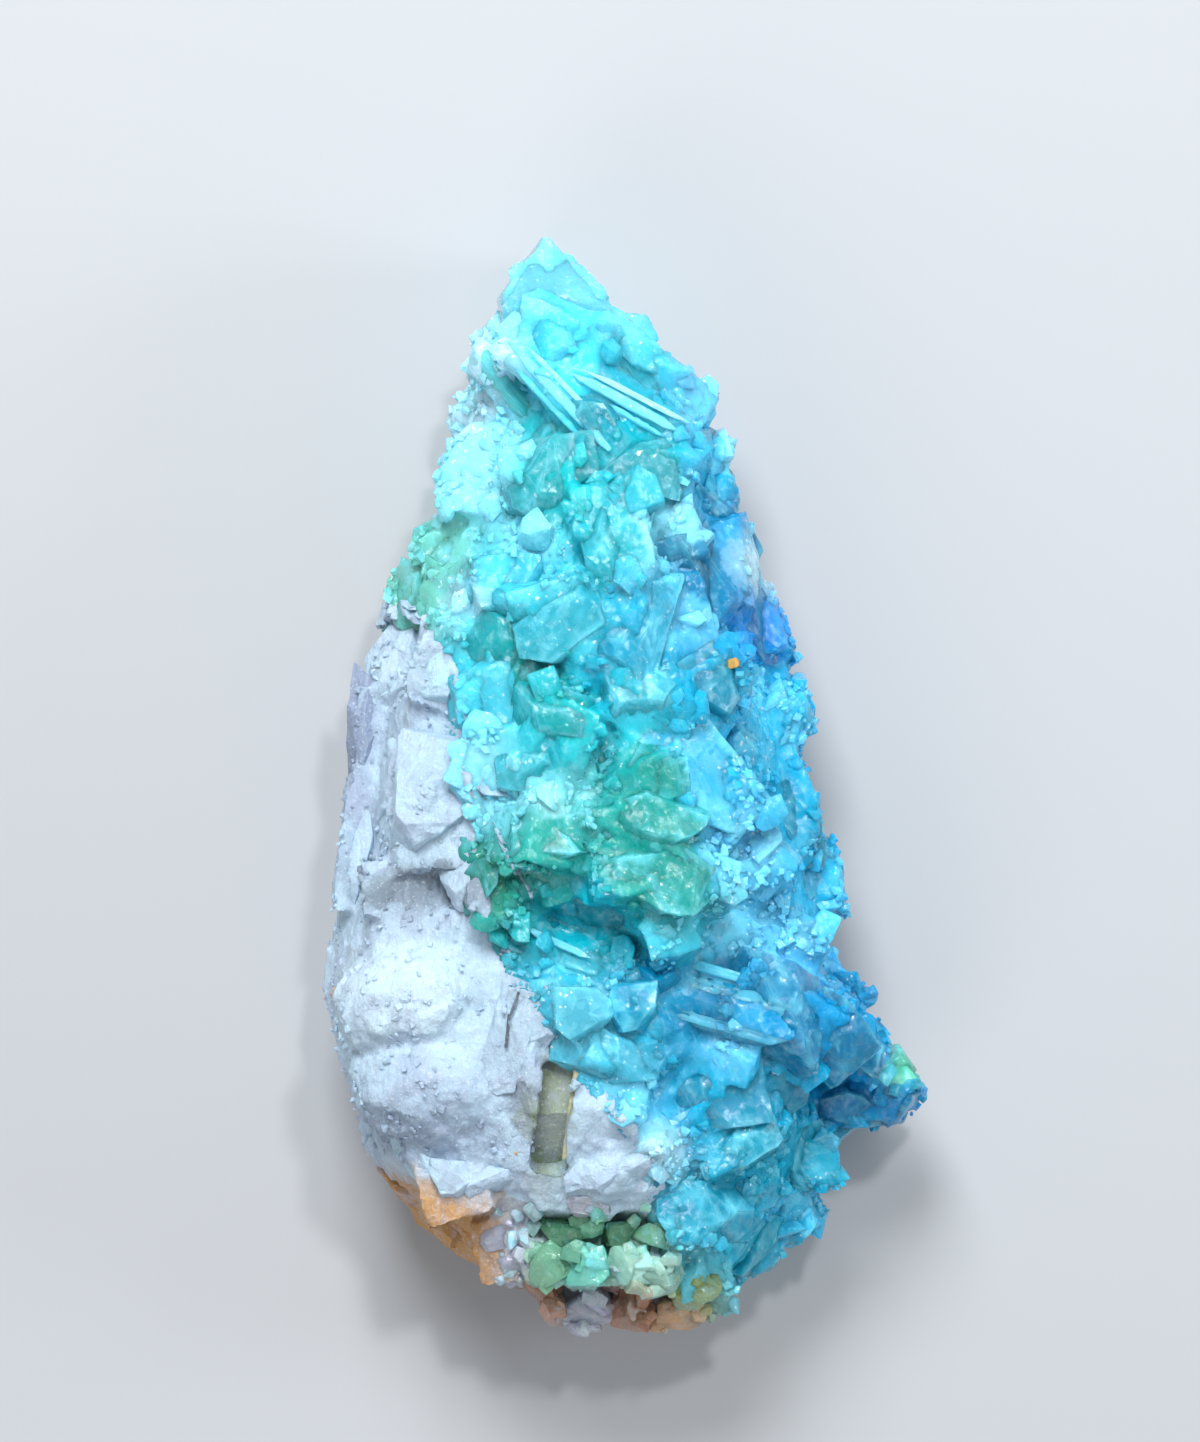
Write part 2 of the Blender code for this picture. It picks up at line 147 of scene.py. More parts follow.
@dataclass(frozen=True)
class Crystal:
    """One named crystal, grain or lump, in millimetres and degrees, with its own tint."""

    shape: Shape
    x: float
    y: float
    half_x: float
    half_y: float
    tint: Tint
    turn: float = 0.0
    tilt: float = 0.0
    lift: float = 0.0
    milk: float = 0.35


BLOCK, ROUND, SLAB, PRISM, SPEAR, PLATE = Shape

POINT_CRYSTALS = (
    Crystal(SPEAR, -3.8, 27.0, 2.9, 3.0, Tint.ICE, 6, milk=0.5),
    Crystal(ROUND, 0.4, 25.2, 2.1, 1.2, Tint.ICE, -24, milk=0.5),
    Crystal(BLOCK, -3.4, 24.2, 3.0, 2.0, Tint.BRIGHT_CYAN, -24, milk=0.3),
    Crystal(ROUND, -7.0, 23.6, 1.1, 3.0, Tint.WHITE_CRUST, -22, milk=0.9),
    Crystal(BLOCK, 1.0, 23.4, 3.0, 1.1, Tint.AQUA, -36),
    Crystal(ROUND, 3.3, 22.1, 1.5, 1.0, Tint.PALE_SKY, -34, milk=0.6),
    Crystal(ROUND, 4.2, 20.6, 1.3, 1.0, Tint.PALE_SKY, -20, milk=0.6),
    Crystal(ROUND, 5.0, 18.4, 1.4, 1.3, Tint.SKY, 10),
    Crystal(ROUND, 5.4, 16.2, 1.2, 1.6, Tint.SKY, 14),
    Crystal(ROUND, -8.4, 20.4, 1.1, 1.8, Tint.WHITE_CRUST, -20, milk=0.8),
)
TOP_PRISMS = (
    Crystal(PRISM, -3.4, 20.9, 0.3, 4.0, Tint.ICE, 43.5, -4, 0.05, milk=0.5),
    # The two thin near-white prisms are painted highlights: glint lines along the prisms.
    Crystal(PRISM, -3.0, 21.4, 0.16, 3.6, Tint.PAINTED_GLINT, 44, -4, 0.1, milk=0.6),
    Crystal(PRISM, -3.9, 20.5, 0.2, 2.9, Tint.AQUA, 43, -4, 0.0, milk=0.3),
    Crystal(PRISM, 0.4, 20.5, 0.3, 3.7, Tint.ICE, 61, -7, 0.05, milk=0.5),
    Crystal(PRISM, 0.9, 20.9, 0.16, 3.3, Tint.PAINTED_GLINT, 62, -8, 0.1, milk=0.6),
    Crystal(PRISM, 0.3, 19.9, 0.2, 2.6, Tint.AQUA, 61, -8, 0.0, milk=0.3),
    Crystal(PRISM, -5.9, 21.4, 0.9, 2.6, Tint.MINT, 40, 0, -0.1, milk=0.2),
)
RECESS_PRISMS = (
    Crystal(PRISM, -2.9, -9.1, 1.0, 4.4, Tint.DEEP_TEAL, 72, -3, -0.1, milk=0.15),
    Crystal(PRISM, -2.2, -7.6, 0.8, 3.4, Tint.DEEP_TEAL, 70, -3, -0.1, milk=0.1),
    Crystal(PRISM, -3.4, -8.3, 0.2, 2.0, Tint.ICE, 66, -3, 0.05, milk=0.3),
    Crystal(PRISM, 3.6, -10.6, 1.0, 5.3, Tint.DEPTH, 76, -6, -0.3, milk=0.0),
    Crystal(PRISM, 3.9, -9.5, 0.3, 3.6, Tint.BLUE_TEAL, 74, -6, -0.1, milk=0.1),
    Crystal(PRISM, 4.4, -12.2, 0.9, 4.6, Tint.DEPTH, 74, -6, -0.2, milk=0.0),
)
PRISMS = TOP_PRISMS + RECESS_PRISMS
GRAINS = (
    Crystal(ROUND, 0.7, 22.2, 3.5, 1.7, Tint.LENS_TEAL, -33, -6, 0.3, milk=0.0),
    Crystal(ROUND, -1.6, 19.6, 2.2, 1.3, Tint.LENS_TEAL, -40, milk=0.0),
    Crystal(BLOCK, -4.6, 19.2, 1.5, 1.1, Tint.SEA_GREEN, -36, milk=0.1),
    Crystal(BLOCK, -3.8, 16.3, 2.4, 2.5, Tint.SEA_GREEN, 8, milk=0.15),
    Crystal(BLOCK, 1.2, 17.4, 2.4, 1.7, Tint.TEAL, -12, milk=0.2),
    Crystal(BLOCK, -8.2, 16.4, 1.9, 2.4, Tint.PALE_AQUA, -10, milk=0.8),
    Crystal(BLOCK, -6.2, 18.6, 1.5, 1.3, Tint.PALE_AQUA, 30, milk=0.7),
    Crystal(BLOCK, -0.8, 13.3, 2.2, 2.7, Tint.TEAL, 12, milk=0.25),
    Crystal(BLOCK, 2.6, 13.6, 1.7, 2.6, Tint.PALE_AQUA, 22, milk=0.6),
    Crystal(BLOCK, -5.0, 13.4, 1.5, 1.4, Tint.PALE_AQUA, -14, milk=0.6),
    Crystal(BLOCK, -6.2, 11.0, 2.2, 1.8, Tint.AQUA, 10, milk=0.4),
    Crystal(BLOCK, -9.6, 12.9, 1.7, 1.7, Tint.LEAF_GREEN, 30, milk=0.5),
    Crystal(BLOCK, -11.3, 10.2, 1.6, 1.8, Tint.LEAF_GREEN, -18, milk=0.4),
    Crystal(SLAB, -8.3, 9.9, 0.9, 1.5, Tint.WHITE_CRUST, 18, 10, 0.4, milk=0.9),
    Crystal(BLOCK, -2.8, 9.0, 3.1, 2.5, Tint.MILKY_TEAL, 14, milk=0.55),
    Crystal(BLOCK, 0.6, 8.0, 2.3, 3.6, Tint.BLUE_TEAL, -6, milk=0.35),
    Crystal(ROUND, 1.0, 4.9, 2.1, 1.8, Tint.MILKY_TEAL, 0, milk=0.4),
    Crystal(BLOCK, 3.5, 9.0, 1.3, 2.4, Tint.PALE_SKY, 16, milk=0.7),
    Crystal(BLOCK, 4.6, 11.2, 2.6, 3.0, Tint.DEPTH, 14, milk=0.0),
    Crystal(BLOCK, 7.4, 8.7, 1.6, 2.2, Tint.DEEP_BLUE, 20, milk=0.05),
    Crystal(BLOCK, 6.0, 14.8, 1.4, 3.2, Tint.AZURE, 18, milk=0.2),
    Crystal(BLOCK, 7.7, 12.4, 1.0, 3.0, Tint.WHITE_CRUST, 22, milk=0.58),
    Crystal(BLOCK, 4.7, 5.5, 1.9, 2.1, Tint.BLUE_TEAL, 28, 0, 0.2, milk=0.1),
    Crystal(ROUND, 8.4, 3.9, 2.7, 2.9, Tint.SKY, 20, milk=0.6),
    Crystal(SLAB, 4.4, 0.6, 1.9, 3.7, Tint.SKY, 40, milk=0.45),
    Crystal(BLOCK, 9.3, -1.4, 1.5, 3.2, Tint.LAGOON, 10, milk=0.2),
    Crystal(SLAB, 6.3, -2.9, 1.9, 3.2, Tint.PALE_SKY, 42, milk=0.7),
    Crystal(BLOCK, -6.7, 8.0, 1.6, 1.6, Tint.SEA_GREEN, -20, milk=0.2),
    Crystal(BLOCK, -4.9, 6.6, 1.3, 2.2, Tint.DEEP_GREEN, 8, milk=0.05),
    Crystal(BLOCK, -6.9, 5.3, 2.3, 2.1, Tint.AQUA, 16, milk=0.35),
    Crystal(BLOCK, -3.4, 3.5, 2.8, 1.7, Tint.SEA_GREEN, -22, milk=0.2),
    Crystal(BLOCK, -4.4, 1.4, 2.4, 1.9, Tint.TEAL, 4, milk=0.3),
    Crystal(ROUND, -3.9, -0.4, 1.9, 1.3, Tint.PALE_MINT, 24, milk=0.8),
    Crystal(BLOCK, -4.3, -2.9, 2.7, 1.7, Tint.MINT, -10, milk=0.3),
    Crystal(BLOCK, 1.9, -4.6, 3.9, 2.1, Tint.MINT, -6, milk=0.4),
    Crystal(BLOCK, 1.2, -1.7, 3.4, 1.9, Tint.MINT, -14, milk=0.3),
    Crystal(BLOCK, 1.6, 0.9, 2.0, 1.7, Tint.MINT, 6, milk=0.4),
    Crystal(BLOCK, -7.1, 0.6, 1.7, 3.1, Tint.PALE_AQUA, 4, milk=0.6),
    Crystal(BLOCK, -7.5, -5.0, 1.1, 2.0, Tint.BOTTLE_GREEN, -4, milk=0.1),
    Crystal(BLOCK, 11.2, -13.4, 1.7, 2.3, Tint.AZURE, 40, milk=0.1),
    Crystal(BLOCK, 13.3, -14.6, 1.3, 1.9, Tint.AZURE, 40, milk=0.1),
    Crystal(BLOCK, 15.3, -15.3, 1.1, 1.1, Tint.GREEN_TIP, 30, milk=0.3),
    Crystal(BLOCK, 12.6, -17.2, 2.2, 1.2, Tint.NAVY, -14, milk=0.0),
    Crystal(BLOCK, 15.3, -17.4, 1.3, 1.0, Tint.NAVY, -14, milk=0.0),
    Crystal(BLOCK, 12.6, -19.0, 1.5, 0.9, Tint.LAGOON, -10, milk=0.1),
    Crystal(BLOCK, -1.4, -6.9, 2.9, 1.5, Tint.DEEP_TEAL, -14, milk=0.1),
    Crystal(BLOCK, 2.3, -7.9, 1.7, 1.7, Tint.AQUA, 20, milk=0.7),
    Crystal(ROUND, 6.6, -7.9, 1.3, 1.2, Tint.PALE_SKY, 0, milk=0.7),
    Crystal(BLOCK, 8.9, -8.4, 2.3, 1.7, Tint.PALE_SKY, -26, milk=0.6),
    Crystal(BLOCK, 10.7, -5.4, 1.5, 2.2, Tint.SKY, 12, milk=0.3),
    Crystal(BLOCK, 8.3, -11.9, 3.2, 2.6, Tint.AZURE, -28, milk=0.15),
    Crystal(ROUND, 0.6, -11.7, 1.7, 1.6, Tint.BLUE_TEAL, 10, milk=0.4),
    Crystal(BLOCK, -2.5, -11.9, 2.2, 1.6, Tint.DULL_AQUA, -6, milk=0.5),
    Crystal(ROUND, -1.0, -14.2, 3.0, 1.7, Tint.DULL_AQUA, -12, milk=0.5),
    Crystal(BLOCK, 5.6, -13.9, 2.1, 1.5, Tint.PALE_SKY, -20, milk=0.8),
    Crystal(BLOCK, 4.9, -16.4, 2.9, 2.2, Tint.LAGOON, 10, milk=0.1),
    Crystal(BLOCK, 8.6, -16.2, 1.8, 1.9, Tint.LAGOON, -20, milk=0.2),
    Crystal(ROUND, 0.3, -17.3, 1.7, 1.6, Tint.PALE_SKY, 0, milk=0.8),
    Crystal(ROUND, 1.7, -19.5, 1.5, 1.3, Tint.WHITE_CRUST, 30, milk=0.8),
    Crystal(BLOCK, 6.4, -19.2, 2.3, 1.7, Tint.DUSK_BLUE, 24, milk=0.3),
    Crystal(BLOCK, 9.8, -20.3, 1.9, 1.9, Tint.DUSK_BLUE, 8, milk=0.4),
    Crystal(BLOCK, 4.5, -22.7, 2.6, 2.0, Tint.DUSK_BLUE, 0, milk=0.35),
    Crystal(ROUND, 7.4, -25.3, 1.9, 2.0, Tint.DUSK_BLUE, -14, milk=0.4),
    Crystal(BLOCK, 9.5, -23.6, 1.5, 1.6, Tint.SKY, 20, milk=0.5),
    Crystal(BLOCK, 4.2, -26.3, 1.6, 1.5, Tint.AQUA, 12, milk=0.5),
)
# Patches of the massive tourmaline where no one crystal stands out. They only colour it. The three deep blue ones lie
# in the recess, and are partly its deeper blue and partly painted shade of the recess.
PATCHES = (
    Crystal(BLOCK, 2.0, -10.2, 2.0, 1.0, Tint.DEPTH, milk=0.0),
    Crystal(BLOCK, 5.0, -10.9, 2.0, 1.0, Tint.DEPTH, milk=0.0),
    Crystal(BLOCK, 4.2, -12.4, 3.0, 0.8, Tint.DEPTH, milk=0.0),
    Crystal(BLOCK, 6.2, 18.8, 0.8, 1.8, Tint.PALE_AQUA, milk=0.9),
    Crystal(BLOCK, -3.4, 21.0, 2.0, 1.2, Tint.BRIGHT_CYAN, milk=0.6),
)
FOOT_GRAINS = (
    Crystal(BLOCK, -6.7, -24.1, 1.2, 1.2, Tint.QUARTZ, 6, milk=0.6),
    Crystal(BLOCK, -6.1, -25.8, 1.3, 1.2, Tint.QUARTZ, 34, milk=0.4),
    Crystal(BLOCK, -3.9, -25.7, 1.2, 1.5, Tint.PALE_GREEN, -14, milk=0.35),
    Crystal(BLOCK, -2.1, -26.1, 1.4, 1.2, Tint.LEAF_GREEN, 12, milk=0.2),
    Crystal(BLOCK, -3.2, -24.0, 1.2, 0.7, Tint.MOSS, -8, milk=0.0),
    Crystal(BLOCK, -1.6, -23.7, 0.9, 0.6, Tint.PALE_GREEN, 20, milk=0.2),
    Crystal(BLOCK, 0.4, -25.6, 1.3, 1.2, Tint.FOOT_MINT, -10, milk=0.35),
    Crystal(BLOCK, 2.1, -26.3, 1.2, 1.1, Tint.FOOT_MINT, 24, milk=0.35),
    Crystal(BLOCK, -0.2, -24.0, 0.9, 0.7, Tint.MOSS, 0, milk=0.3),
    Crystal(BLOCK, 1.6, -24.2, 1.0, 0.7, Tint.PALE_GREEN, -24, milk=0.5),
    Crystal(BLOCK, 4.0, -27.1, 1.5, 1.3, Tint.LICHEN, 20, milk=0.4),
    Crystal(BLOCK, -4.4, -27.6, 1.3, 1.0, Tint.BROWN_PINK, 12, milk=0.1),
    Crystal(BLOCK, -2.0, -28.6, 1.5, 1.1, Tint.QUARTZ, 12, milk=0.1),
    Crystal(BLOCK, 0.8, -28.7, 1.4, 1.1, Tint.BROWN_PINK, -6, milk=0.1),
    Crystal(BLOCK, 3.2, -29.0, 1.3, 0.9, Tint.SAND, -6, milk=0.1),
)
RUST_SPECKS = (
    Crystal(ROUND, 5.9, 6.6, 0.5, 0.38, Tint.RUST, 10, lift=0.3),
    Crystal(ROUND, -15.6, -11.3, 0.34, 0.42, Tint.RUST),
    Crystal(ROUND, -5.6, -19.6, 0.26, 0.2, Tint.RUST),
    Crystal(ROUND, -2.7, -19.5, 0.28, 0.36, Tint.RUST),
)
WHITE_BLOCKS = (
    Crystal(BLOCK, -12.2, 6.4, 1.9, 2.3, Tint.CHALK, -14),
    Crystal(BLOCK, -9.6, 6.6, 1.3, 2.3, Tint.WHITE_CRUST, -28),
    Crystal(BLOCK, -14.0, 3.0, 1.0, 3.6, Tint.LILAC_GREY, -6),
    Crystal(BLOCK, -12.6, 0.4, 0.9, 2.6, Tint.CHALK, -2),
    Crystal(BLOCK, -10.3, -0.6, 1.9, 3.4, Tint.CHALK, -4),
    Crystal(BLOCK, -14.4, -3.4, 1.1, 3.2, Tint.CHALK, -4),
    Crystal(ROUND, -8.3, -5.2, 1.3, 1.4, Tint.CHALK, 10),
    Crystal(BLOCK, -10.8, -20.4, 2.2, 0.9, Tint.CHALK, -28, lift=0.1),
    Crystal(BLOCK, -9.0, -21.2, 1.5, 1.5, Tint.CHALK, -6, lift=0.2),
    Crystal(BLOCK, -7.2, -20.9, 1.4, 1.1, Tint.CHALK, 16, lift=0.1),
    Crystal(BLOCK, -12.6, -21.8, 2.0, 1.1, Tint.TAN, -36, lift=0.1),
    Crystal(BLOCK, -9.6, -24.4, 0.9, 1.7, Tint.TAN, -18, lift=0.2),
    Crystal(PLATE, -3.8, -18.0, 1.4, 4.2, Tint.OLIVE, -6, 0, -0.5),
    Crystal(PLATE, -2.75, -17.3, 0.17, 2.6, Tint.STRAW, -7, 0, -0.18),
    Crystal(SLAB, -6.0, -13.2, 1.1, 3.2, Tint.CHALK, -16, 0, 0.0),
    # Thin dark plates over the filled crack: painted shade of the crack.
    Crystal(PLATE, -5.75, -11.5, 0.07, 0.9, Tint.PAINTED_CRACK_SHADE, -20, 0, 0.1),
    Crystal(PLATE, -6.1, -12.9, 0.09, 0.9, Tint.PAINTED_CRACK_SHADE, -6, 0, 0.1),
    Crystal(PLATE, -6.45, -14.4, 0.06, 0.9, Tint.PAINTED_CRACK_SHADE, -20, 0, 0.1),
    Crystal(ROUND, -4.6, -12.6, 1.0, 2.2, Tint.CHALK, -12),
    Crystal(BLOCK, -0.9, -20.4, 2.3, 1.8, Tint.CHALK, 8),
    Crystal(ROUND, -1.9, -22.2, 1.4, 1.0, Tint.QUARTZ, 0),
)

# The line between the white side and the crystals: x at each y, from the left shoulder to the foot.
WHITE_BORDER = (
    (11.0, -16.0),
    (9.8, -12.2),
    (8.2, -9.6),
    (5.0, -8.9),
    (0.0, -8.6),
    (-4.6, -8.2),
    (-7.4, -7.2),
    (-10.2, -5.6),
    (-12.2, -4.3),
    (-14.6, -3.0),
    (-16.0, -1.4),
    (-18.4, 0.4),
    (-20.6, 1.6),
    (-23.6, 2.2),
    (-26.0, 3.4),
    (-31.0, 6.0),
)


def border_x(y: float) -> float:
    """Finds the white side's border.

    Args:
        y: How far along the stone, in millimetres.

    Returns:
        The x of the border there, or one past the stone's left side where there is no white.
    """
    for (upper_y, upper_x), (lower_y, lower_x) in zip(WHITE_BORDER, WHITE_BORDER[1:]):
        if lower_y <= y <= upper_y:
            share = (upper_y - y) / (upper_y - lower_y)
            return upper_x + share * (lower_x - upper_x)
    return -99.0 if y > WHITE_BORDER[0][0] else WHITE_BORDER[-1][1]


def at_foot(spot: Vector) -> float:
    """Returns 1 where the foot's glassy grains grow out of the feldspar, fading to 0 round them."""
    return min(1.0, max(0.0, min(-22.8 - spot.y, spot.x + 5.6)))


def is_white(spot: Vector) -> bool:
    """Returns True where a spot in millimetres is on the white side."""
    return spot.x < border_x(spot.y)


@dataclass(frozen=True)
class TintMap:
    """Colours the stone between its named crystals: each spot takes after those nearest to it."""

    crystals: tuple[Crystal, ...]
    sharpness: float = 2.2

    def at(self, spots: np.ndarray) -> np.ndarray:
        """Blends the named crystals' tints.

        Args:
            spots: Places in millimetres, one row of x and y each.

        Returns:
            A row of linear red, green and blue and the milkiness for each spot.
        """
        centres = np.array([(c.x, c.y) for c in self.crystals])
        reach = np.array([(c.half_x + c.half_y) / 2 for c in self.crystals])
        colours = np.array([(*c.tint.linear(), c.milk) for c in self.crystals])
        gaps = np.linalg.norm(spots[:, None, :] - centres[None, :, :], axis=2) / reach
        weights = 1.0 / (0.15 + gaps**self.sharpness) ** 2
        return weights @ colours / weights.sum(axis=1, keepdims=True)


class Surface:
    """A closed surface of the stone, in millimetres, for finding where its faces lie."""

    def __init__(self, mesh: bpy.types.Mesh) -> None:
        """Copies a mesh and merges its loose triangles.

        Args:
            mesh: The mesh, in metres.
        """
        bm = bmesh.new()
        bm.from_mesh(mesh)
        bmesh.ops.remove_doubles(bm, verts=bm.verts, dist=1e-7)
        bmesh.ops.triangulate(bm, faces=bm.faces)
        self.mesh = bpy.data.meshes.new("stone_source")
        bm.to_mesh(self.mesh)
        bmesh.ops.scale(bm, vec=(1 / MM, 1 / MM, 1 / MM), verts=bm.verts)
        bm.normal_update()
        self.tree = BVHTree.FromBMesh(bm)
        self.corners = [[v.co.copy() for v in f.verts] for f in bm.faces]
        self.normals = [f.normal.copy() for f in bm.faces]
        self.areas = np.cumsum([f.calc_area() for f in bm.faces]).tolist()
        bm.free()

    def skin(self, voxel: float, rounds: int) -> "Surface":
        """Smooths the surface, for the general slope of its faces.

        Args:
            voxel: The even copy's cell size in millimetres.
            rounds: How often it is smoothed.

        Returns:
            The smooth surface.
        """
        obj = bpy.data.objects.new("skin", self.mesh.copy())
        bpy.context.scene.collection.objects.link(obj)
        even = obj.modifiers.new("even", "REMESH")
        even.mode = "VOXEL"
        even.voxel_size = voxel * MM
        smooth = obj.modifiers.new("smooth", "SMOOTH")
        smooth.factor = 0.6
        smooth.iterations = rounds
        with_modifiers(obj)
        made = Surface(obj.data)
        bpy.data.objects.remove(obj)
        return made

    def gap_along(self, spot: Vector, normal: Vector, reach: float) -> float:
        """Measures how far this surface lies from a spot, along a normal.

        Args:
            spot: The spot, in millimetres.
            normal: The direction that counts as positive.
            reach: The furthest that is looked.

        Returns:
            The distance in millimetres, or zero where there is no face in reach.
        """
        hit = self.tree.ray_cast(spot + normal * reach, -normal, 2 * reach)
        return 0.0 if hit[0] is None else reach - hit[3]

    def top(self, x: float, y: float) -> Vector:
        """Finds the face over a point.

        Args:
            x: Across the stone, in millimetres.
            y: Along the stone, in millimetres.

        Returns:
            The highest spot of the solid over the point, or the nearest one where the point is past its outline.
        """
        hit = self.tree.ray_cast(Vector((x, y, 100.0)), Vector((0, 0, -1)))[0]
        return hit or self.tree.find_nearest(Vector((x, y, 8.0)))[0]

    def spots(
        self, count: int, gap: float, rng: random.Random, keep: Callable[[Vector, Vector], bool]
    ) -> Iterator[tuple[Vector, Vector]]:
        """Spreads spots evenly over the solid.

        Args:
            count: How many spots are tried.
            gap: The least distance between two spots, in millimetres.
            rng: The source of chance.
            keep: Says of a spot and its normal whether it may be used.

        Yields:
            Each spot and the normal there.
        """
        taken: dict[tuple[int, int, int], list[Vector]] = {}
        for _ in range(count):
            i = bisect(self.areas, rng.uniform(0, self.areas[-1]))
            i = min(i, len(self.corners) - 1)
            a, b, c = self.corners[i]
            u, v = rng.random(), rng.random()
            if u + v > 1:
                u, v = 1 - u, 1 - v
            spot = a + u * (b - a) + v * (c - a)
            normal = self.normals[i]
            if not keep(spot, normal):
                continue
            cell = tuple(int(math.floor(n / gap)) for n in spot)
            near = (
                other
                for dx in (-1, 0, 1)
                for dy in (-1, 0, 1)
                for dz in (-1, 0, 1)
                for other in taken.get((cell[0] + dx, cell[1] + dy, cell[2] + dz), ())
            )
            if any((spot - other).length < gap for other in near):
                continue
            taken.setdefault(cell, []).append(spot)
            yield spot, normal


def cut_off(bm: bmesh.types.BMesh, point: Vector, normal: Vector) -> None:
    """Breaks off all that lies past a plane, and closes the break with one flat face.

    Args:
        bm: The shape, changed in place.
        point: A point on the plane.
        normal: The plane's normal, on the side that goes.
    """
    everything = bm.verts[:] + bm.edges[:] + bm.faces[:]
    cut = bmesh.ops.bisect_plane(
        bm, geom=everything, dist=1e-5, plane_co=point, plane_no=normal, clear_outer=True
    )
    rim = [e for e in cut["geom_cut"] if isinstance(e, bmesh.types.BMEdge)]
    if rim:
        bmesh.ops.edgenet_fill(bm, edges=rim)


def random_direction(rng: random.Random) -> Vector:
    """Returns a direction that is as likely to point anywhere."""
    height = rng.uniform(-1, 1)
    around = rng.uniform(0, math.tau)
    flat = math.sqrt(1 - height * height)
    return Vector((flat * math.cos(around), flat * math.sin(around), height))


def bevel_all(bm: bmesh.types.BMesh, width: float, segments: int) -> None:
    """Rounds every edge of a shape.

    Args:
        bm: The shape, changed in place.
        width: The bevel's width.
        segments: Faces across the bevel.
    """
    bmesh.ops.bevel(
        bm, geom=bm.edges[:], offset=width, offset_type="OFFSET", affect="EDGES",
        segments=segments, profile=0.5, material=-1, clamp_overlap=True,
    )


def block_shape(rng: random.Random, cuts: int, nearest: float = 0.8, furthest: float = 1.12) -> bmesh.types.BMesh:
    """Makes a unit crystal grain: a block with its corners and edges broken off flat.

    Args:
        rng: The source of chance.
        cuts: How many breaks it has.
        nearest: The deepest break's distance from the middle.
        furthest: The shallowest break's distance from the middle.

    Returns:
        The grain.
    """
    bm = bmesh.new()
    bmesh.ops.create_cube(bm, size=2.0)
    for _ in range(cuts):
        normal = random_direction(rng)
        cut_off(bm, normal * rng.uniform(nearest, furthest), normal)
    return bm


def prism_shape(rng: random.Random, sides: int, flutes: float) -> bmesh.types.BMesh:
    """Makes a unit tourmaline prism along Y: a bulging three-sided section, fine flutes and broken ends.

    Args:
        rng: The source of chance.
        sides: Faces round the prism.
        flutes: The depth of its flutes, as a share of its radius.

    Returns:
        The prism.
    """
    bm = bmesh.new()
    bmesh.ops.create_cone(bm, cap_ends=True, segments=sides, radius1=1.0, radius2=1.0, depth=2.0)
    depths = [rng.uniform(-flutes, 0) for _ in range(sides)]
    for vertex in bm.verts:
        around = math.atan2(vertex.co.y, vertex.co.x)
        side = round(around / math.tau * sides) % sides
        swell = 1.0 + 0.1 * math.cos(3 * around) + depths[side]
        vertex.co.x *= swell
        vertex.co.y *= swell
    bmesh.ops.rotate(bm, matrix=Matrix.Rotation(math.radians(90), 3, "X"), verts=bm.verts)
    for end in (-1, 1):
        for lean in (-0.35, 0.35):
            normal = Vector((lean, end, rng.uniform(-0.3, 0.3))).normalized()
            cut_off(bm, normal * rng.uniform(0.84, 0.92), normal)
    return bm


def spear_shape(rng: random.Random) -> bmesh.types.BMesh:
    """Makes a unit pointed crystal that narrows to +Y.

    Args:
        rng: The source of chance.

    Returns:
        The crystal.
    """
    bm = block_shape(rng, 2, 1.1, 1.3)
    for side, reach in ((-1, 0.66), (1, 0.6)):
        normal = Vector((side * 0.82, 0.74, 0.0)).normalized()
        cut_off(bm, normal * reach, normal)
    face = Vector((0.1, 0.45, 0.85)).normalized()
    cut_off(bm, face * 0.82, face)
    return bm


def roughen(bm: bmesh.types.BMesh, size: float, depth: float, seed: float) -> None:
    """Makes flat faces wander, as broken crystal does.

    Args:
        bm: The shape in millimetres, changed in place.
        size: The size of the unevenness.
        depth: How far it reaches.
        seed: Sets one grain's unevenness apart from the next one's.
    """
    shift = Vector((seed, -seed, 2 * seed))
    bm.normal_update()
    moves = [(v, v.normal * (noise.fractal(v.co / size + shift, 1.0, 2.0, 3) * depth)) for v in bm.verts]
    for vertex, move in moves:
        vertex.co += move


def keep_in_box(bm: bmesh.types.BMesh) -> None:
    """Moves whatever stands out of the solid's box back to its sides.

    Args:
        bm: The shape in metres, changed in place.
    """
    low, high = SOLID_BOX
    for vertex in bm.verts:
        vertex.co = [min(max(c, least), most) for c, least, most in zip(vertex.co, low, high)]


def object_of(name: str, bm: bmesh.types.BMesh, sharp: float = 30.0) -> bpy.types.Object:
    """Turns a shape in millimetres into an object in metres.

    Args:
        name: The object's name.
        bm: The shape, which is freed.
        sharp: Edges that turn further than this stay sharp, in degrees.

    Returns:
        The object, linked to the scene.
    """
    bmesh.ops.scale(bm, vec=(MM, MM, MM), verts=bm.verts)
    keep_in_box(bm)
    bmesh.ops.recalc_face_normals(bm, faces=bm.faces)
    mesh = bpy.data.meshes.new(name)
    bm.to_mesh(mesh)
    bm.free()
    mesh.shade_smooth()
    mesh.set_sharp_from_angle(angle=math.radians(sharp))
    made = bpy.data.objects.new(name, mesh)
    bpy.context.scene.collection.objects.link(made)
    return made


def with_modifiers(obj: bpy.types.Object) -> None:
    """Replaces an object's mesh by what its modifiers make of it.

    Args:
        obj: The object, changed in place.
    """
    graph = bpy.context.evaluated_depsgraph_get()
    finished = bpy.data.meshes.new_from_object(obj.evaluated_get(graph))
    obj.modifiers.clear()
    obj.data = finished


@dataclass(frozen=True)
class Placed:
    """One copy of a unit shape: where it stands, and its colour and milkiness."""

    mesh: bpy.types.Mesh
    matrix: Matrix
    colour: tuple[float, float, float, float]


BATCH = 60


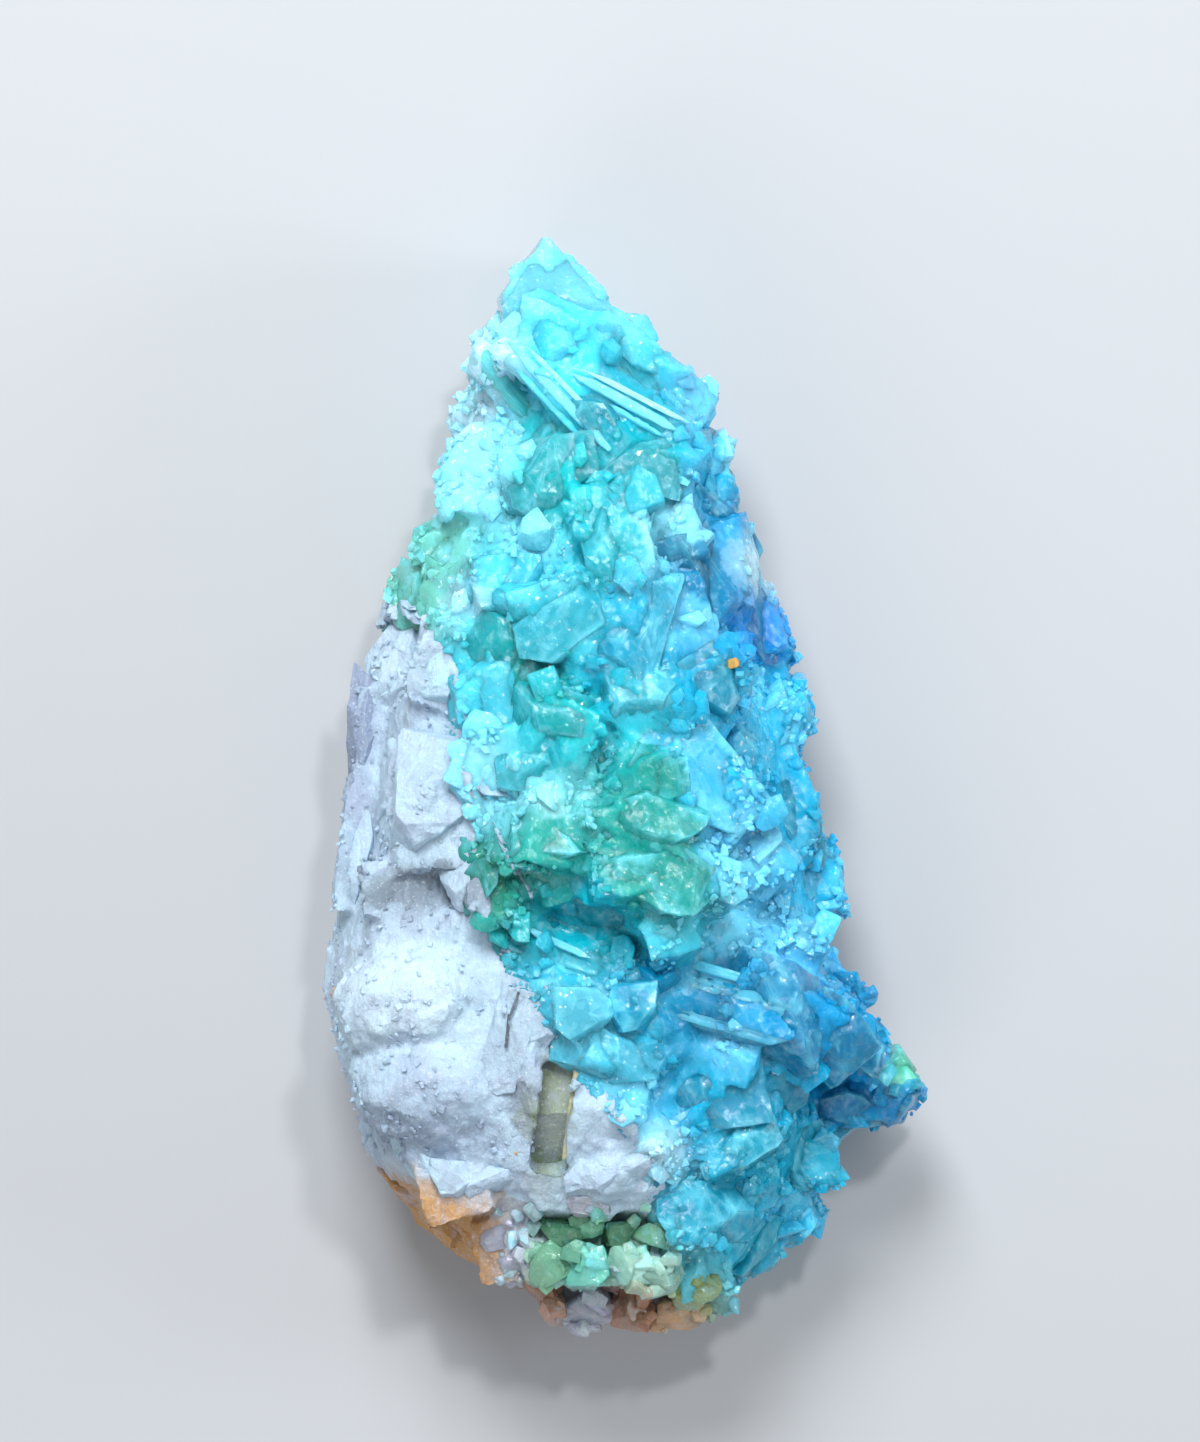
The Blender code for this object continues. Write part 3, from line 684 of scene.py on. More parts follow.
def gather(parts: Iterable[Placed]) -> bmesh.types.BMesh:
    """Joins many placed shapes into one mesh, in batches, each with its colour on its points.

    Args:
        parts: The placed shapes.

    Returns:
        All of them, in millimetres.
    """
    whole = bmesh.new()
    whole.verts.layers.float_color.new(TINT_LAYER)
    parts = list(parts)
    for start in range(0, len(parts), BATCH):
        batch = bmesh.new()
        layer = batch.verts.layers.float_color.new(TINT_LAYER)
        for part in parts[start : start + BATCH]:
            before = len(batch.verts)
            batch.from_mesh(part.mesh)
            batch.verts.ensure_lookup_table()
            fresh = batch.verts[before:]
            bmesh.ops.transform(batch, matrix=part.matrix, verts=fresh)
            for vertex in fresh:
                vertex[layer] = part.colour
        joined = bpy.data.meshes.new("batch")
        batch.to_mesh(joined)
        batch.free()
        whole.from_mesh(joined)
        bpy.data.meshes.remove(joined)
    return whole


def mesh_of(bm: bmesh.types.BMesh) -> bpy.types.Mesh:
    """Returns a shape as a mesh of its own, to be copied."""
    mesh = bpy.data.meshes.new("shape")
    bm.to_mesh(mesh)
    bm.free()
    return mesh


def varied(colour: np.ndarray, rng: random.Random, spread: float) -> tuple[float, float, float, float]:
    """Gives a grain its own shade of its place's colour.

    Args:
        colour: Linear red, green and blue, and the milkiness.
        rng: The source of chance.
        spread: How far the shade may be from the place's.

    Returns:
        The grain's colour and milkiness.
    """
    shade = 1.0 + rng.uniform(-spread, spread)
    warm = rng.uniform(-spread, spread) * 0.4
    red, green, blue, milk = (float(c) for c in colour)
    milk = min(1.0, max(0.0, milk + rng.uniform(-0.25, 0.25)))
    pale = 0.4 * max(0.0, milk - 0.5)
    fresh = (red, green * (1 + warm), blue * (1 - warm))
    mixed = [c * (1 - pale) + pale * ice for c, ice in zip(fresh, (0.48, 0.9, 0.97))]
    return (*(min(1.0, c * shade) for c in mixed), milk)


class NodeKit:
    """Adds nodes to one tree and links them."""

    def __init__(self, tree: bpy.types.NodeTree) -> None:
        """Keeps the tree that nodes go into."""
        self.tree = tree

    def add(self, kind: str, settings: dict | None = None, **inputs: object) -> bpy.types.Node:
        """Adds a node.

        Args:
            kind: The node's type, without the words ShaderNode.
            settings: The node's own settings.
            inputs: Values or sockets for its inputs, by name with underscores, or by number after an i.

        Returns:
            The node.
        """
        node = self.tree.nodes.new("ShaderNode" + kind)
        for name, value in (settings or {}).items():
            setattr(node, name, value)
        for name, value in inputs.items():
            numbered = name[0] == "i" and name[1:].isdigit()
            socket = node.inputs[int(name[1:])] if numbered else node.inputs[name.replace("_", " ")]
            if isinstance(value, bpy.types.NodeSocket):
                self.tree.links.new(value, socket)
            else:
                socket.default_value = value
        return node

    def math(self, operation: str, *values: object) -> bpy.types.NodeSocket:
        """Returns the result of a Math node on the values."""
        inputs = {f"i{i}": value for i, value in enumerate(values)}
        return self.add("Math", {"operation": operation}, **inputs).outputs[0]

    def step(self, value: object, low: float, high: float, to_low: float = 0.0, to_high: float = 1.0) -> bpy.types.NodeSocket:
        """Returns a value's smooth rise from to_low at low to to_high at high."""
        settings = {"interpolation_type": "SMOOTHSTEP"}
        node = self.add("MapRange", settings, i0=value, i1=low, i2=high, i3=to_low, i4=to_high)
        return node.outputs[0]

    def facets(self, place: object, scale: object) -> tuple[bpy.types.NodeSocket, bpy.types.NodeSocket]:
        """Splits space into cells that each lean their own way.

        Args:
            place: Where, in millimetres.
            scale: Cells to a millimetre.

        Returns:
            Each cell's own shade from 0 to 1, and the height of its leaning face in millimetres.
        """
        cells = self.add("TexVoronoi", {"feature": "F1"}, Vector=place, Scale=scale, Randomness=1.0)
        colour = cells.outputs["Color"]
        lean = self.add("VectorMath", {"operation": "SUBTRACT"}, i0=colour, i1=(0.5, 0.5, 0.5)).outputs[0]
        inside = self.add("VectorMath", {"operation": "SUBTRACT"}, i0=place, i1=cells.outputs["Position"]).outputs[0]
        height = self.add("VectorMath", {"operation": "DOT_PRODUCT"}, i0=lean, i1=inside).outputs["Value"]
        return self.add("SeparateColor", Color=colour).outputs[1], height

    def mix(self, share: object, first: object, second: object, blend: str = "MIX") -> bpy.types.NodeSocket:
        """Returns a mix of two colours."""
        settings = {"data_type": "RGBA", "blend_type": blend}
        return self.add("Mix", settings, i0=share, i6=first, i7=second).outputs[2]


def new_group(name: str, inputs: dict[str, tuple[str, object]], outputs: dict[str, str]) -> tuple[bpy.types.NodeTree, NodeKit, dict]:
    """Starts a shader node group.

    Args:
        name: The group's name.
        inputs: Each input's socket type and default value.
        outputs: Each output's socket type.

    Returns:
        The group, its node kit and its input sockets by name.
    """
    group = bpy.data.node_groups.new(name, "ShaderNodeTree")
    for label, (kind, default) in inputs.items():
        socket = group.interface.new_socket(label, in_out="INPUT", socket_type=kind)
        socket.default_value = default
    for label, kind in outputs.items():
        group.interface.new_socket(label, in_out="OUTPUT", socket_type=kind)
    kit = NodeKit(group)
    entry = group.nodes.new("NodeGroupInput")
    return group, kit, {s.name: s for s in entry.outputs if s.name}


def crystal_group() -> bpy.types.NodeTree:
    """Makes the inner look of broken crystal: milky clouds, pale drawn streaks, painted glints on small angular cells
    and fine uneven faces.

    Returns:
        The node group.
    """
    group, kit, given = new_group(
        "crystal interior",
        {
            "Tint": ("NodeSocketColor", (0.3, 0.7, 0.8, 1)),
            "Milk": ("NodeSocketFloat", 0.4),
            "Cloud Size": ("NodeSocketFloat", 1.8),
            "Facet Size": ("NodeSocketFloat", 1.0),
            "Polish": ("NodeSocketFloat", 0.1),
            "Streaks": ("NodeSocketFloat", 0.25),
            "Streak Turn": ("NodeSocketVector", (0.0, 0.0, 0.4)),
        },
        {"Color": "NodeSocketColor", "Roughness": "NodeSocketFloat", "Height": "NodeSocketFloat"},
    )
    place = kit.add("VectorMath", {"operation": "SCALE"}, i0=kit.add("TexCoord").outputs["Object"]).outputs[0]
    place.node.inputs["Scale"].default_value = 1 / MM
    wander = kit.add("TexNoise", Vector=place, Scale=0.8, Detail=3.0).outputs["Color"]
    bent = kit.add("VectorMath", {"operation": "MULTIPLY_ADD"}, i0=wander, i1=(0.9,) * 3, i2=place).outputs[0]
    cloud = kit.add("TexNoise", Vector=bent, Scale=kit.math("DIVIDE", 1.0, given["Cloud Size"]), Detail=5.0).outputs[0]
    coarse, coarse_lean = kit.facets(bent, kit.math("DIVIDE", 1.0, given["Facet Size"]))
    fine, fine_lean = kit.facets(place, kit.math("DIVIDE", 2.8, given["Facet Size"]))
    veil = kit.math("MULTIPLY_ADD", kit.math("SUBTRACT", cloud, 0.5), 1.5, given["Milk"])
    veil = kit.math("MULTIPLY_ADD", kit.math("SUBTRACT", coarse, 0.5), 0.55, veil)
    veil = kit.math("MULTIPLY_ADD", kit.math("SUBTRACT", fine, 0.5), 0.35, veil)
    pale = kit.step(veil, 0.5, 1.15)
    frosted = kit.mix(0.55, given["Tint"], (0.22, 0.8, 0.94, 1))
    colour = kit.mix(kit.math("MULTIPLY", pale, 0.85), given["Tint"], frosted)
    darker = kit.mix(1.0, given["Tint"], (0.3, 0.62, 0.76, 1), "MULTIPLY")
    colour = kit.mix(kit.step(veil, 0.2, -0.35, 0.0, 0.4), colour, darker)
    settings = {"vector_type": "TEXTURE"}
    drawn = kit.add("Mapping", settings, Vector=place, Rotation=given["Streak Turn"], Scale=(1.0, 9.0, 1.0)).outputs[0]
    streak = kit.add("TexNoise", Vector=drawn, Scale=2.6, Detail=4.0, Roughness=0.65).outputs[0]
    colour = kit.mix(kit.math("MULTIPLY", kit.step(streak, 0.54, 0.66), given["Streaks"]), colour, frosted)
    # Painted glints: small angular cells, picked at random in the milky parts, are painted near-white to stand in for
    # sparkling highlights.
    settings = {"feature": "F1", "distance": "MANHATTAN"}
    flakes = kit.add("TexVoronoi", settings, Vector=bent, Scale=3.6, Randomness=1.0)
    glint_picked = kit.step(kit.add("SeparateColor", Color=flakes.outputs["Color"]).outputs[0], 0.8, 0.84)
    painted_glint = kit.math("MULTIPLY", glint_picked, kit.step(flakes.outputs["Distance"], 0.5, 0.36))
    painted_glint = kit.math("MULTIPLY", painted_glint, kit.step(veil, 0.45, 0.95, 0.05, 1.0))
    colour = kit.mix(kit.math("MULTIPLY", painted_glint, 0.65), colour, (0.9, 1.0, 1.0, 1))
    grain = kit.add("TexNoise", Vector=place, Scale=3.2, Detail=4.0, Roughness=0.65).outputs[0]
    rough = kit.math("MULTIPLY_ADD", kit.step(grain, 0.35, 0.75), 0.06, given["Polish"])
    rough = kit.math("MULTIPLY_ADD", pale, 0.1, rough)
    rough = kit.math("MULTIPLY", rough, kit.step(fine, 0.6, 0.75, 1.0, 0.4))
    height = kit.math("MULTIPLY", coarse_lean, 0.42)
    height = kit.math("MULTIPLY_ADD", fine_lean, 0.6, height)
    height = kit.math("MULTIPLY_ADD", grain, 0.1, height)
    height = kit.math("MULTIPLY_ADD", kit.math("MULTIPLY", streak, given["Streaks"]), 0.25, height)
    leave = group.nodes.new("NodeGroupOutput")
    for name, socket in (("Color", colour), ("Roughness", rough), ("Height", height)):
        group.links.new(socket, leave.inputs[name])
    return group


def chalk_group() -> bpy.types.NodeTree:
    """Makes the look of dull sugary feldspar: lilac mottles, lilac-grey painted shade in the grooves between its
    fibres, and fine grains.

    Returns:
        The node group.
    """
    group, kit, given = new_group(
        "sugary feldspar",
        {
            "Tint": ("NodeSocketColor", (0.8, 0.83, 0.9, 1)),
            "Hollow": ("NodeSocketColor", (0.4, 0.45, 0.6, 1)),
            "Grain Size": ("NodeSocketFloat", 0.45),
        },
        {"Color": "NodeSocketColor", "Roughness": "NodeSocketFloat", "Height": "NodeSocketFloat"},
    )
    place = kit.add("VectorMath", {"operation": "SCALE"}, i0=kit.add("TexCoord").outputs["Object"]).outputs[0]
    place.node.inputs["Scale"].default_value = 1 / MM
    drawn = kit.add("Mapping", Vector=place, Rotation=(0.3, 0.2, 0.9), Scale=(1.0, 0.22, 1.0)).outputs[0]
    mottle = kit.add("TexNoise", Vector=place, Scale=0.3, Detail=6.0, Roughness=0.62).outputs[0]
    fibres = kit.add("TexNoise", Vector=drawn, Scale=2.4, Detail=5.0, Roughness=0.6).outputs[0]
    shade, lean = kit.facets(place, kit.math("DIVIDE", 1.0, given["Grain Size"]))
    fine = kit.add("TexNoise", Vector=place, Scale=5.0, Detail=4.0, Roughness=0.7).outputs[0]
    colour = kit.mix(kit.math("MULTIPLY", kit.step(mottle, 0.52, 0.36), 0.4), given["Tint"], given["Hollow"])
    # Painted shade: the grooves between the fibres, which the bump sinks, are mixed towards the lilac-grey.
    colour = kit.mix(kit.step(fibres, 0.5, 0.36, 0.0, 0.3), colour, given["Hollow"])
    colour = kit.mix(kit.math("MULTIPLY", shade, 0.1), colour, given["Hollow"])
    colour = kit.mix(kit.step(fine, 0.54, 0.72, 0.0, 0.4), colour, (0.9, 0.96, 1, 1))
    rough = kit.math("MULTIPLY_ADD", kit.step(shade, 0.75, 0.9), -0.3, 0.62)
    height = kit.math("MULTIPLY", lean, 0.35)
    height = kit.math("MULTIPLY_ADD", fibres, 0.3, height)
    height = kit.math("MULTIPLY_ADD", fine, 0.14, height)
    leave = group.nodes.new("NodeGroupOutput")
    for name, socket in (("Color", colour), ("Roughness", rough), ("Height", height)):
        group.links.new(socket, leave.inputs[name])
    return group


@dataclass(frozen=True)
class Finish:
    """A finish whose colour comes from each point's tint, through one of the stone's node groups."""

    name: str
    group: bpy.types.NodeTree
    options: dict[str, object]
    transmission: float = 0.0
    subsurface: float = 0.3
    radius: tuple[float, float, float] = (1.0, 1.0, 1.0)
    specular: float = 0.35
    depth: float = 1.2
    index: float = 1.62
    coat: float = 0.0
    bump: float = 0.8
    absorbed: float = 0.0

    def material(self) -> bpy.types.Material:
        """Returns the finish as a material."""
        material = bpy.data.materials.new(self.name)
        material.use_nodes = True
        kit = NodeKit(material.node_tree)
        shader = material.node_tree.nodes["Principled BSDF"]
        shader.subsurface_method = "BURLEY"
        tint = kit.add("Attribute", {"attribute_name": TINT_LAYER})
        inner = kit.add("Group", {"node_tree": self.group})
        for name, value in self.options.items():
            inner.inputs[name].default_value = value
        link = material.node_tree.links.new
        link(tint.outputs["Color"], inner.inputs["Tint"])
        if "Milk" in inner.inputs:
            link(tint.outputs["Alpha"], inner.inputs["Milk"])
        link(inner.outputs["Color"], shader.inputs["Base Color"])
        link(inner.outputs["Roughness"], shader.inputs["Roughness"])
        bump = kit.add("Bump", Strength=self.bump, Distance=MM, Height=inner.outputs["Height"])
        link(bump.outputs["Normal"], shader.inputs["Normal"])
        shader.inputs["Metallic"].default_value = 0.0
        shader.inputs["IOR"].default_value = self.index
        shader.inputs["Specular IOR Level"].default_value = self.specular
        shader.inputs["Transmission Weight"].default_value = self.transmission
        shader.inputs["Subsurface Weight"].default_value = self.subsurface
        shader.inputs["Subsurface Radius"].default_value = self.radius
        shader.inputs["Subsurface Scale"].default_value = self.depth * MM
        shader.inputs["Coat Weight"].default_value = self.coat
        shader.inputs["Coat Roughness"].default_value = 0.05
        if self.absorbed:
            inside = kit.add("VolumeAbsorption", Color=(0.12, 0.82, 0.94, 1.0), Density=self.absorbed / MM)
            link(inside.outputs["Volume"], material.node_tree.nodes["Material Output"].inputs["Volume"])
        return material


def dress(obj: bpy.types.Object, material: bpy.types.Material) -> None:
    """Gives a finished piece its material and its place on the stone.

    Args:
        obj: The piece.
        material: Its material.
    """
    obj.data.materials.clear()
    obj.data.materials.append(material)
    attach(obj, BODY)
    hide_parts(NODE)
    LOG.info("%s: %d faces", obj.name, len(obj.data.polygons))


def tipped_faces(spot: Vector, size: float) -> tuple[float, Vector]:
    """Breaks space into small faces that each lean their own way.

    Args:
        spot: Where, in millimetres.
        size: The faces' size.

    Returns:
        The height of the face there, from about -1 to 1, and the middle of its cell.
    """
    inside = spot / size
    cell = noise.voronoi(inside)[1][0]
    lean = noise.noise_vector(cell * 3.1)
    return lean.dot(inside - cell) * 1.6 + 0.6 * noise.noise(cell * 5.7), cell * size


def broken_crystal(spot: Vector) -> tuple[float, Vector]:
    """Returns the relief of massive tourmaline in millimetres, and the face that the spot is on."""
    height, cell = tipped_faces(spot, 1.3)
    small, _ = tipped_faces(spot, 0.6)
    return 0.2 * height + 0.07 * small + 0.04 * noise.fractal(spot / 0.6, 1.0, 2.0, 2), cell


def cleaved_feldspar(spot: Vector) -> tuple[float, Vector]:
    """Returns the relief of feldspar in millimetres, and the chip that the spot is on.

    It has flat breaks, shallow ledges, drawn-out ridges along its grain, and small chips.
    """
    breaks, _ = tipped_faces(spot + Vector((5.0, 0.0, 0.0)), 2.4)
    level = 2.4 * noise.fractal(spot / 3.2, 1.0, 2.0, 2)
    ledge = math.floor(level) + min(1.0, (level - math.floor(level)) * 6.0)
    along = Vector((0.25, 0.97, 0.0))
    across = spot - along * (0.8 * spot.dot(along))
    ridge = noise.fractal(across / 0.5, 1.0, 2.0, 2)
    chips, cell = tipped_faces(spot, 0.9)
    crumbs, _ = tipped_faces(spot, 0.45)
    return 0.14 * breaks + 0.09 * ledge + 0.05 * ridge + 0.08 * chips + 0.06 * crumbs, cell


@dataclass
class Rock:
    """The two bodies that everything grows on: the feldspar, and the massive tourmaline over its right side."""

    surface: Surface
    tints: TintMap
    feldspar_sink: float = 1.4
    crystal_sink: float = 0.1
    buried: float = 1.1
    drop: float = 2.6
    border_width: float = 1.6
    overlap: float = 0.5

    def _body(self, name: str, voxel: float, point: Vector, normal: Vector) -> bpy.types.Object:
        """Makes an even, closed copy of one side of the solid.

        Args:
            name: The copy's name.
            voxel: The size of its faces in millimetres.
            point: A point on the plane where it ends, inside the other body.
            normal: The plane's normal, on the side that goes.

        Returns:
            The copy.
        """
        bm = bmesh.new()
        bm.from_mesh(self.surface.mesh)
        cut_off(bm, point * MM, normal)
        mesh = bpy.data.meshes.new(name)
        bm.to_mesh(mesh)
        bm.free()
        obj = bpy.data.objects.new(name, mesh)
        bpy.context.scene.collection.objects.link(obj)
        even = obj.modifiers.new("even", "REMESH")
        even.mode = "VOXEL"
        even.voxel_size = voxel * MM
        with_modifiers(obj)
        return obj

    def _past_border(self, spot: Vector, side: int) -> float:
        """Says how far a body has passed its border.

        Args:
            spot: Where, in millimetres.
            side: 1 for the feldspar, which ends to the right, and -1 for the mass, which ends to the left.

        Returns:
            0 within the body's own side and where the two overlap, rising to 1 past it.
        """
        past = side * (spot.x - border_x(spot.y)) - self.overlap
        return min(1.0, max(0.0, past / self.border_width))

    def _shape(
        self, obj: bpy.types.Object, relief: Callable[[Vector], tuple[float, Vector]],
        sink: Callable[[Vector], float], tint: Callable[[np.ndarray], np.ndarray], lift: Callable[[Vector], float],
        drop: float = 0.0,
    ) -> None:
        """Breaks a body's surface into small faces, and colours it.

        Args:
            obj: The body, changed in place.
            relief: The height of the broken surface at a spot, and the face that the spot is on.
            sink: How far a spot in millimetres is moved in.
            tint: Colours for rows of x, y and z.
            lift: How far off the floor the body stops at a spot.
            drop: How far straight down it goes past its left border.
        """
        bm = bmesh.new()
        bm.from_mesh(obj.data)
        bmesh.ops.scale(bm, vec=(1 / MM, 1 / MM, 1 / MM), verts=bm.verts)
        bmesh.ops.smooth_vert(bm, verts=bm.verts, factor=0.4, use_axis_x=True, use_axis_y=True, use_axis_z=True)
        bm.normal_update()
        moves = []
        centres = []
        for vertex in bm.verts:
            height, cell = relief(vertex.co)
            down = drop * self._past_border(vertex.co, -1) if drop else 0.0
            move = vertex.normal * (height - sink(vertex.co)) - Vector((0.0, 0.0, down))
            if vertex.co.z < 1.5:
                move.z = min(move.z, 0.0)
            moves.append(move)
            centres.append(cell)
        spots = np.array([v.co[:] for v in bm.verts])
        colours = tint(0.6 * np.array([c[:] for c in centres]) + 0.4 * spots)
        shades = np.array([noise.noise(c * 4.3) for c in centres])
        colours[:, :3] *= 1.0 + 0.14 * shades[:, None]
        colours[:, 3] += 0.5 * shades
        layer = bm.verts.layers.float_color.new(TINT_LAYER)
        for vertex, move, colour in zip(bm.verts, moves, np.clip(colours, 0, 1)):
            vertex.co += move
            vertex.co.z = max(vertex.co.z, lift(vertex.co))
            vertex[layer] = colour
        bmesh.ops.scale(bm, vec=(MM, MM, MM), verts=bm.verts)
        keep_in_box(bm)
        bm.to_mesh(obj.data)
        bm.free()
        obj.data.shade_smooth()
        obj.data.set_sharp_from_angle(angle=math.radians(40))

    def feldspar(self) -> bpy.types.Object:
        """Returns the white body of the left side and the foot, which ends under the crystals."""
        obj = self._body("feldspar_body", 0.2, Vector((-6.0, 0.0, 0.0)), Vector((0.913, 0.407, 0.0)))
        self._shape(
            obj, cleaved_feldspar,
            lambda spot: 0.15 + self.feldspar_sink * self._past_border(spot, 1) + 0.9 * at_foot(spot),
            feldspar_tints,
            lambda spot: 0.05 * self._past_border(spot, 1),
        )
        return obj

    def crystal_mass(self) -> bpy.types.Object:
        """Returns the massive tourmaline between the grains, which dips under the feldspar at the border."""
        obj = self._body("tourmaline_mass", 0.26, Vector((-12.2, 6.0, 0.0)), Vector((-0.943, -0.332, 0.0)))
        self._shape(
            obj, broken_crystal,
            lambda spot: self.crystal_sink + self.buried * self._past_border(spot, -1),
            self._mass_tints,
            lambda spot: 0.05 * self._past_border(spot, -1),
            self.drop,
        )
        return obj

    def _mass_tints(self, spots: np.ndarray) -> np.ndarray:
        """Returns the tints of the mass, which is milkier than the grains that grow on it and a little darker, as
        painted shade in the gaps between the grains where the mass shows.
        """
        colours = self.tints.at(spots[:, :2])
        # Darkened a little: painted shade for the gaps between the grains.
        colours[:, :3] *= 0.92
        colours[:, 3] += 0.05
        return colours


@dataclass(frozen=True)
class StainOrPaintedLight:
    """A soft patch of another colour on the white side: mostly the stone's own stains, with one painted highlight and
    one painted shadow among them.
    """

    x: float
    y: float
    half_x: float
    half_y: float
    tint: Tint
    strength: float


STAINS_AND_PAINTED_LIGHT = (
    # Painted highlight: the top of the white lump made paler where the light falls on it.
    StainOrPaintedLight(-12.4, -11.0, 3.6, 3.0, Tint.PAINTED_LUMP_HIGHLIGHT, 0.9),
    # Painted shadow: the feldspar under the ledge made grey where the block above shades it.
    StainOrPaintedLight(-10.5, -5.3, 4.4, 1.5, Tint.PAINTED_LEDGE_SHADOW, 1.0),
    StainOrPaintedLight(-14.6, 2.0, 1.5, 6.0, Tint.LILAC_GREY, 0.7),
    StainOrPaintedLight(-11.4, -24.2, 4.8, 3.2, Tint.TAN, 1.0),
    StainOrPaintedLight(-8.6, -25.6, 3.0, 3.6, Tint.TAN, 1.0),
    StainOrPaintedLight(-5.4, -24.6, 1.5, 2.0, Tint.QUARTZ, 0.8),
    StainOrPaintedLight(-3.8, -18.0, 1.1, 4.0, Tint.OLIVE, 0.95),
    StainOrPaintedLight(-1.4, -25.0, 3.8, 2.0, Tint.PALE_GREEN, 0.8),
    StainOrPaintedLight(0.0, -29.0, 6.5, 1.8, Tint.BROWN_PINK, 0.9),
    StainOrPaintedLight(-10.5, -18.8, 4.0, 1.4, Tint.LILAC_GREY, 0.7),
    StainOrPaintedLight(-11.0, -16.4, 4.4, 2.2, Tint.LILAC_GREY, 0.35),
    StainOrPaintedLight(-4.6, -16.0, 0.8, 4.0, Tint.LILAC_GREY, 0.5),
)


def feldspar_tints(spots: np.ndarray) -> np.ndarray:
    """Colours the white side, with its stains, a painted highlight on the lump and a painted shadow under the ledge.

    Args:
        spots: Places in millimetres, one row of x, y and z each.

    Returns:
        A row of linear red, green and blue and the milkiness for each spot.
    """
    colours = np.tile((*Tint.CHALK.linear(), 0.2), (len(spots), 1))
    shift = 1.5 * np.array([noise.noise_vector(Vector(spot) / 1.9)[:] for spot in spots])
    x, y = (spots + shift)[:, :2].T
    for stain_or_light in STAINS_AND_PAINTED_LIGHT:
        reach = ((x - stain_or_light.x) / stain_or_light.half_x) ** 2 + ((y - stain_or_light.y) / stain_or_light.half_y) ** 2
        share = (stain_or_light.strength * np.exp(-(reach**2)))[:, None]
        colours[:, :3] = colours[:, :3] * (1 - share) + np.array(stain_or_light.tint.linear()) * share
    return colours


def shatter(bm: bmesh.types.BMesh, size: float, depth: float, seed: float) -> None:
    """Breaks a crystal's faces into smaller ones that lean their own ways.

    Args:
        bm: The crystal in millimetres, changed in place.
        size: The small faces' size.
        depth: How far they rise and fall.
        seed: Sets one crystal's breaks apart from the next one's.
    """
    shift = Vector((seed, -seed, 2 * seed))
    bm.normal_update()
    moves = [(v, v.normal * (depth * tipped_faces(v.co + shift, size)[0])) for v in bm.verts]
    for vertex, move in moves:
        vertex.co += move


FROST = (0.2, 0.78, 0.94, 0.9)


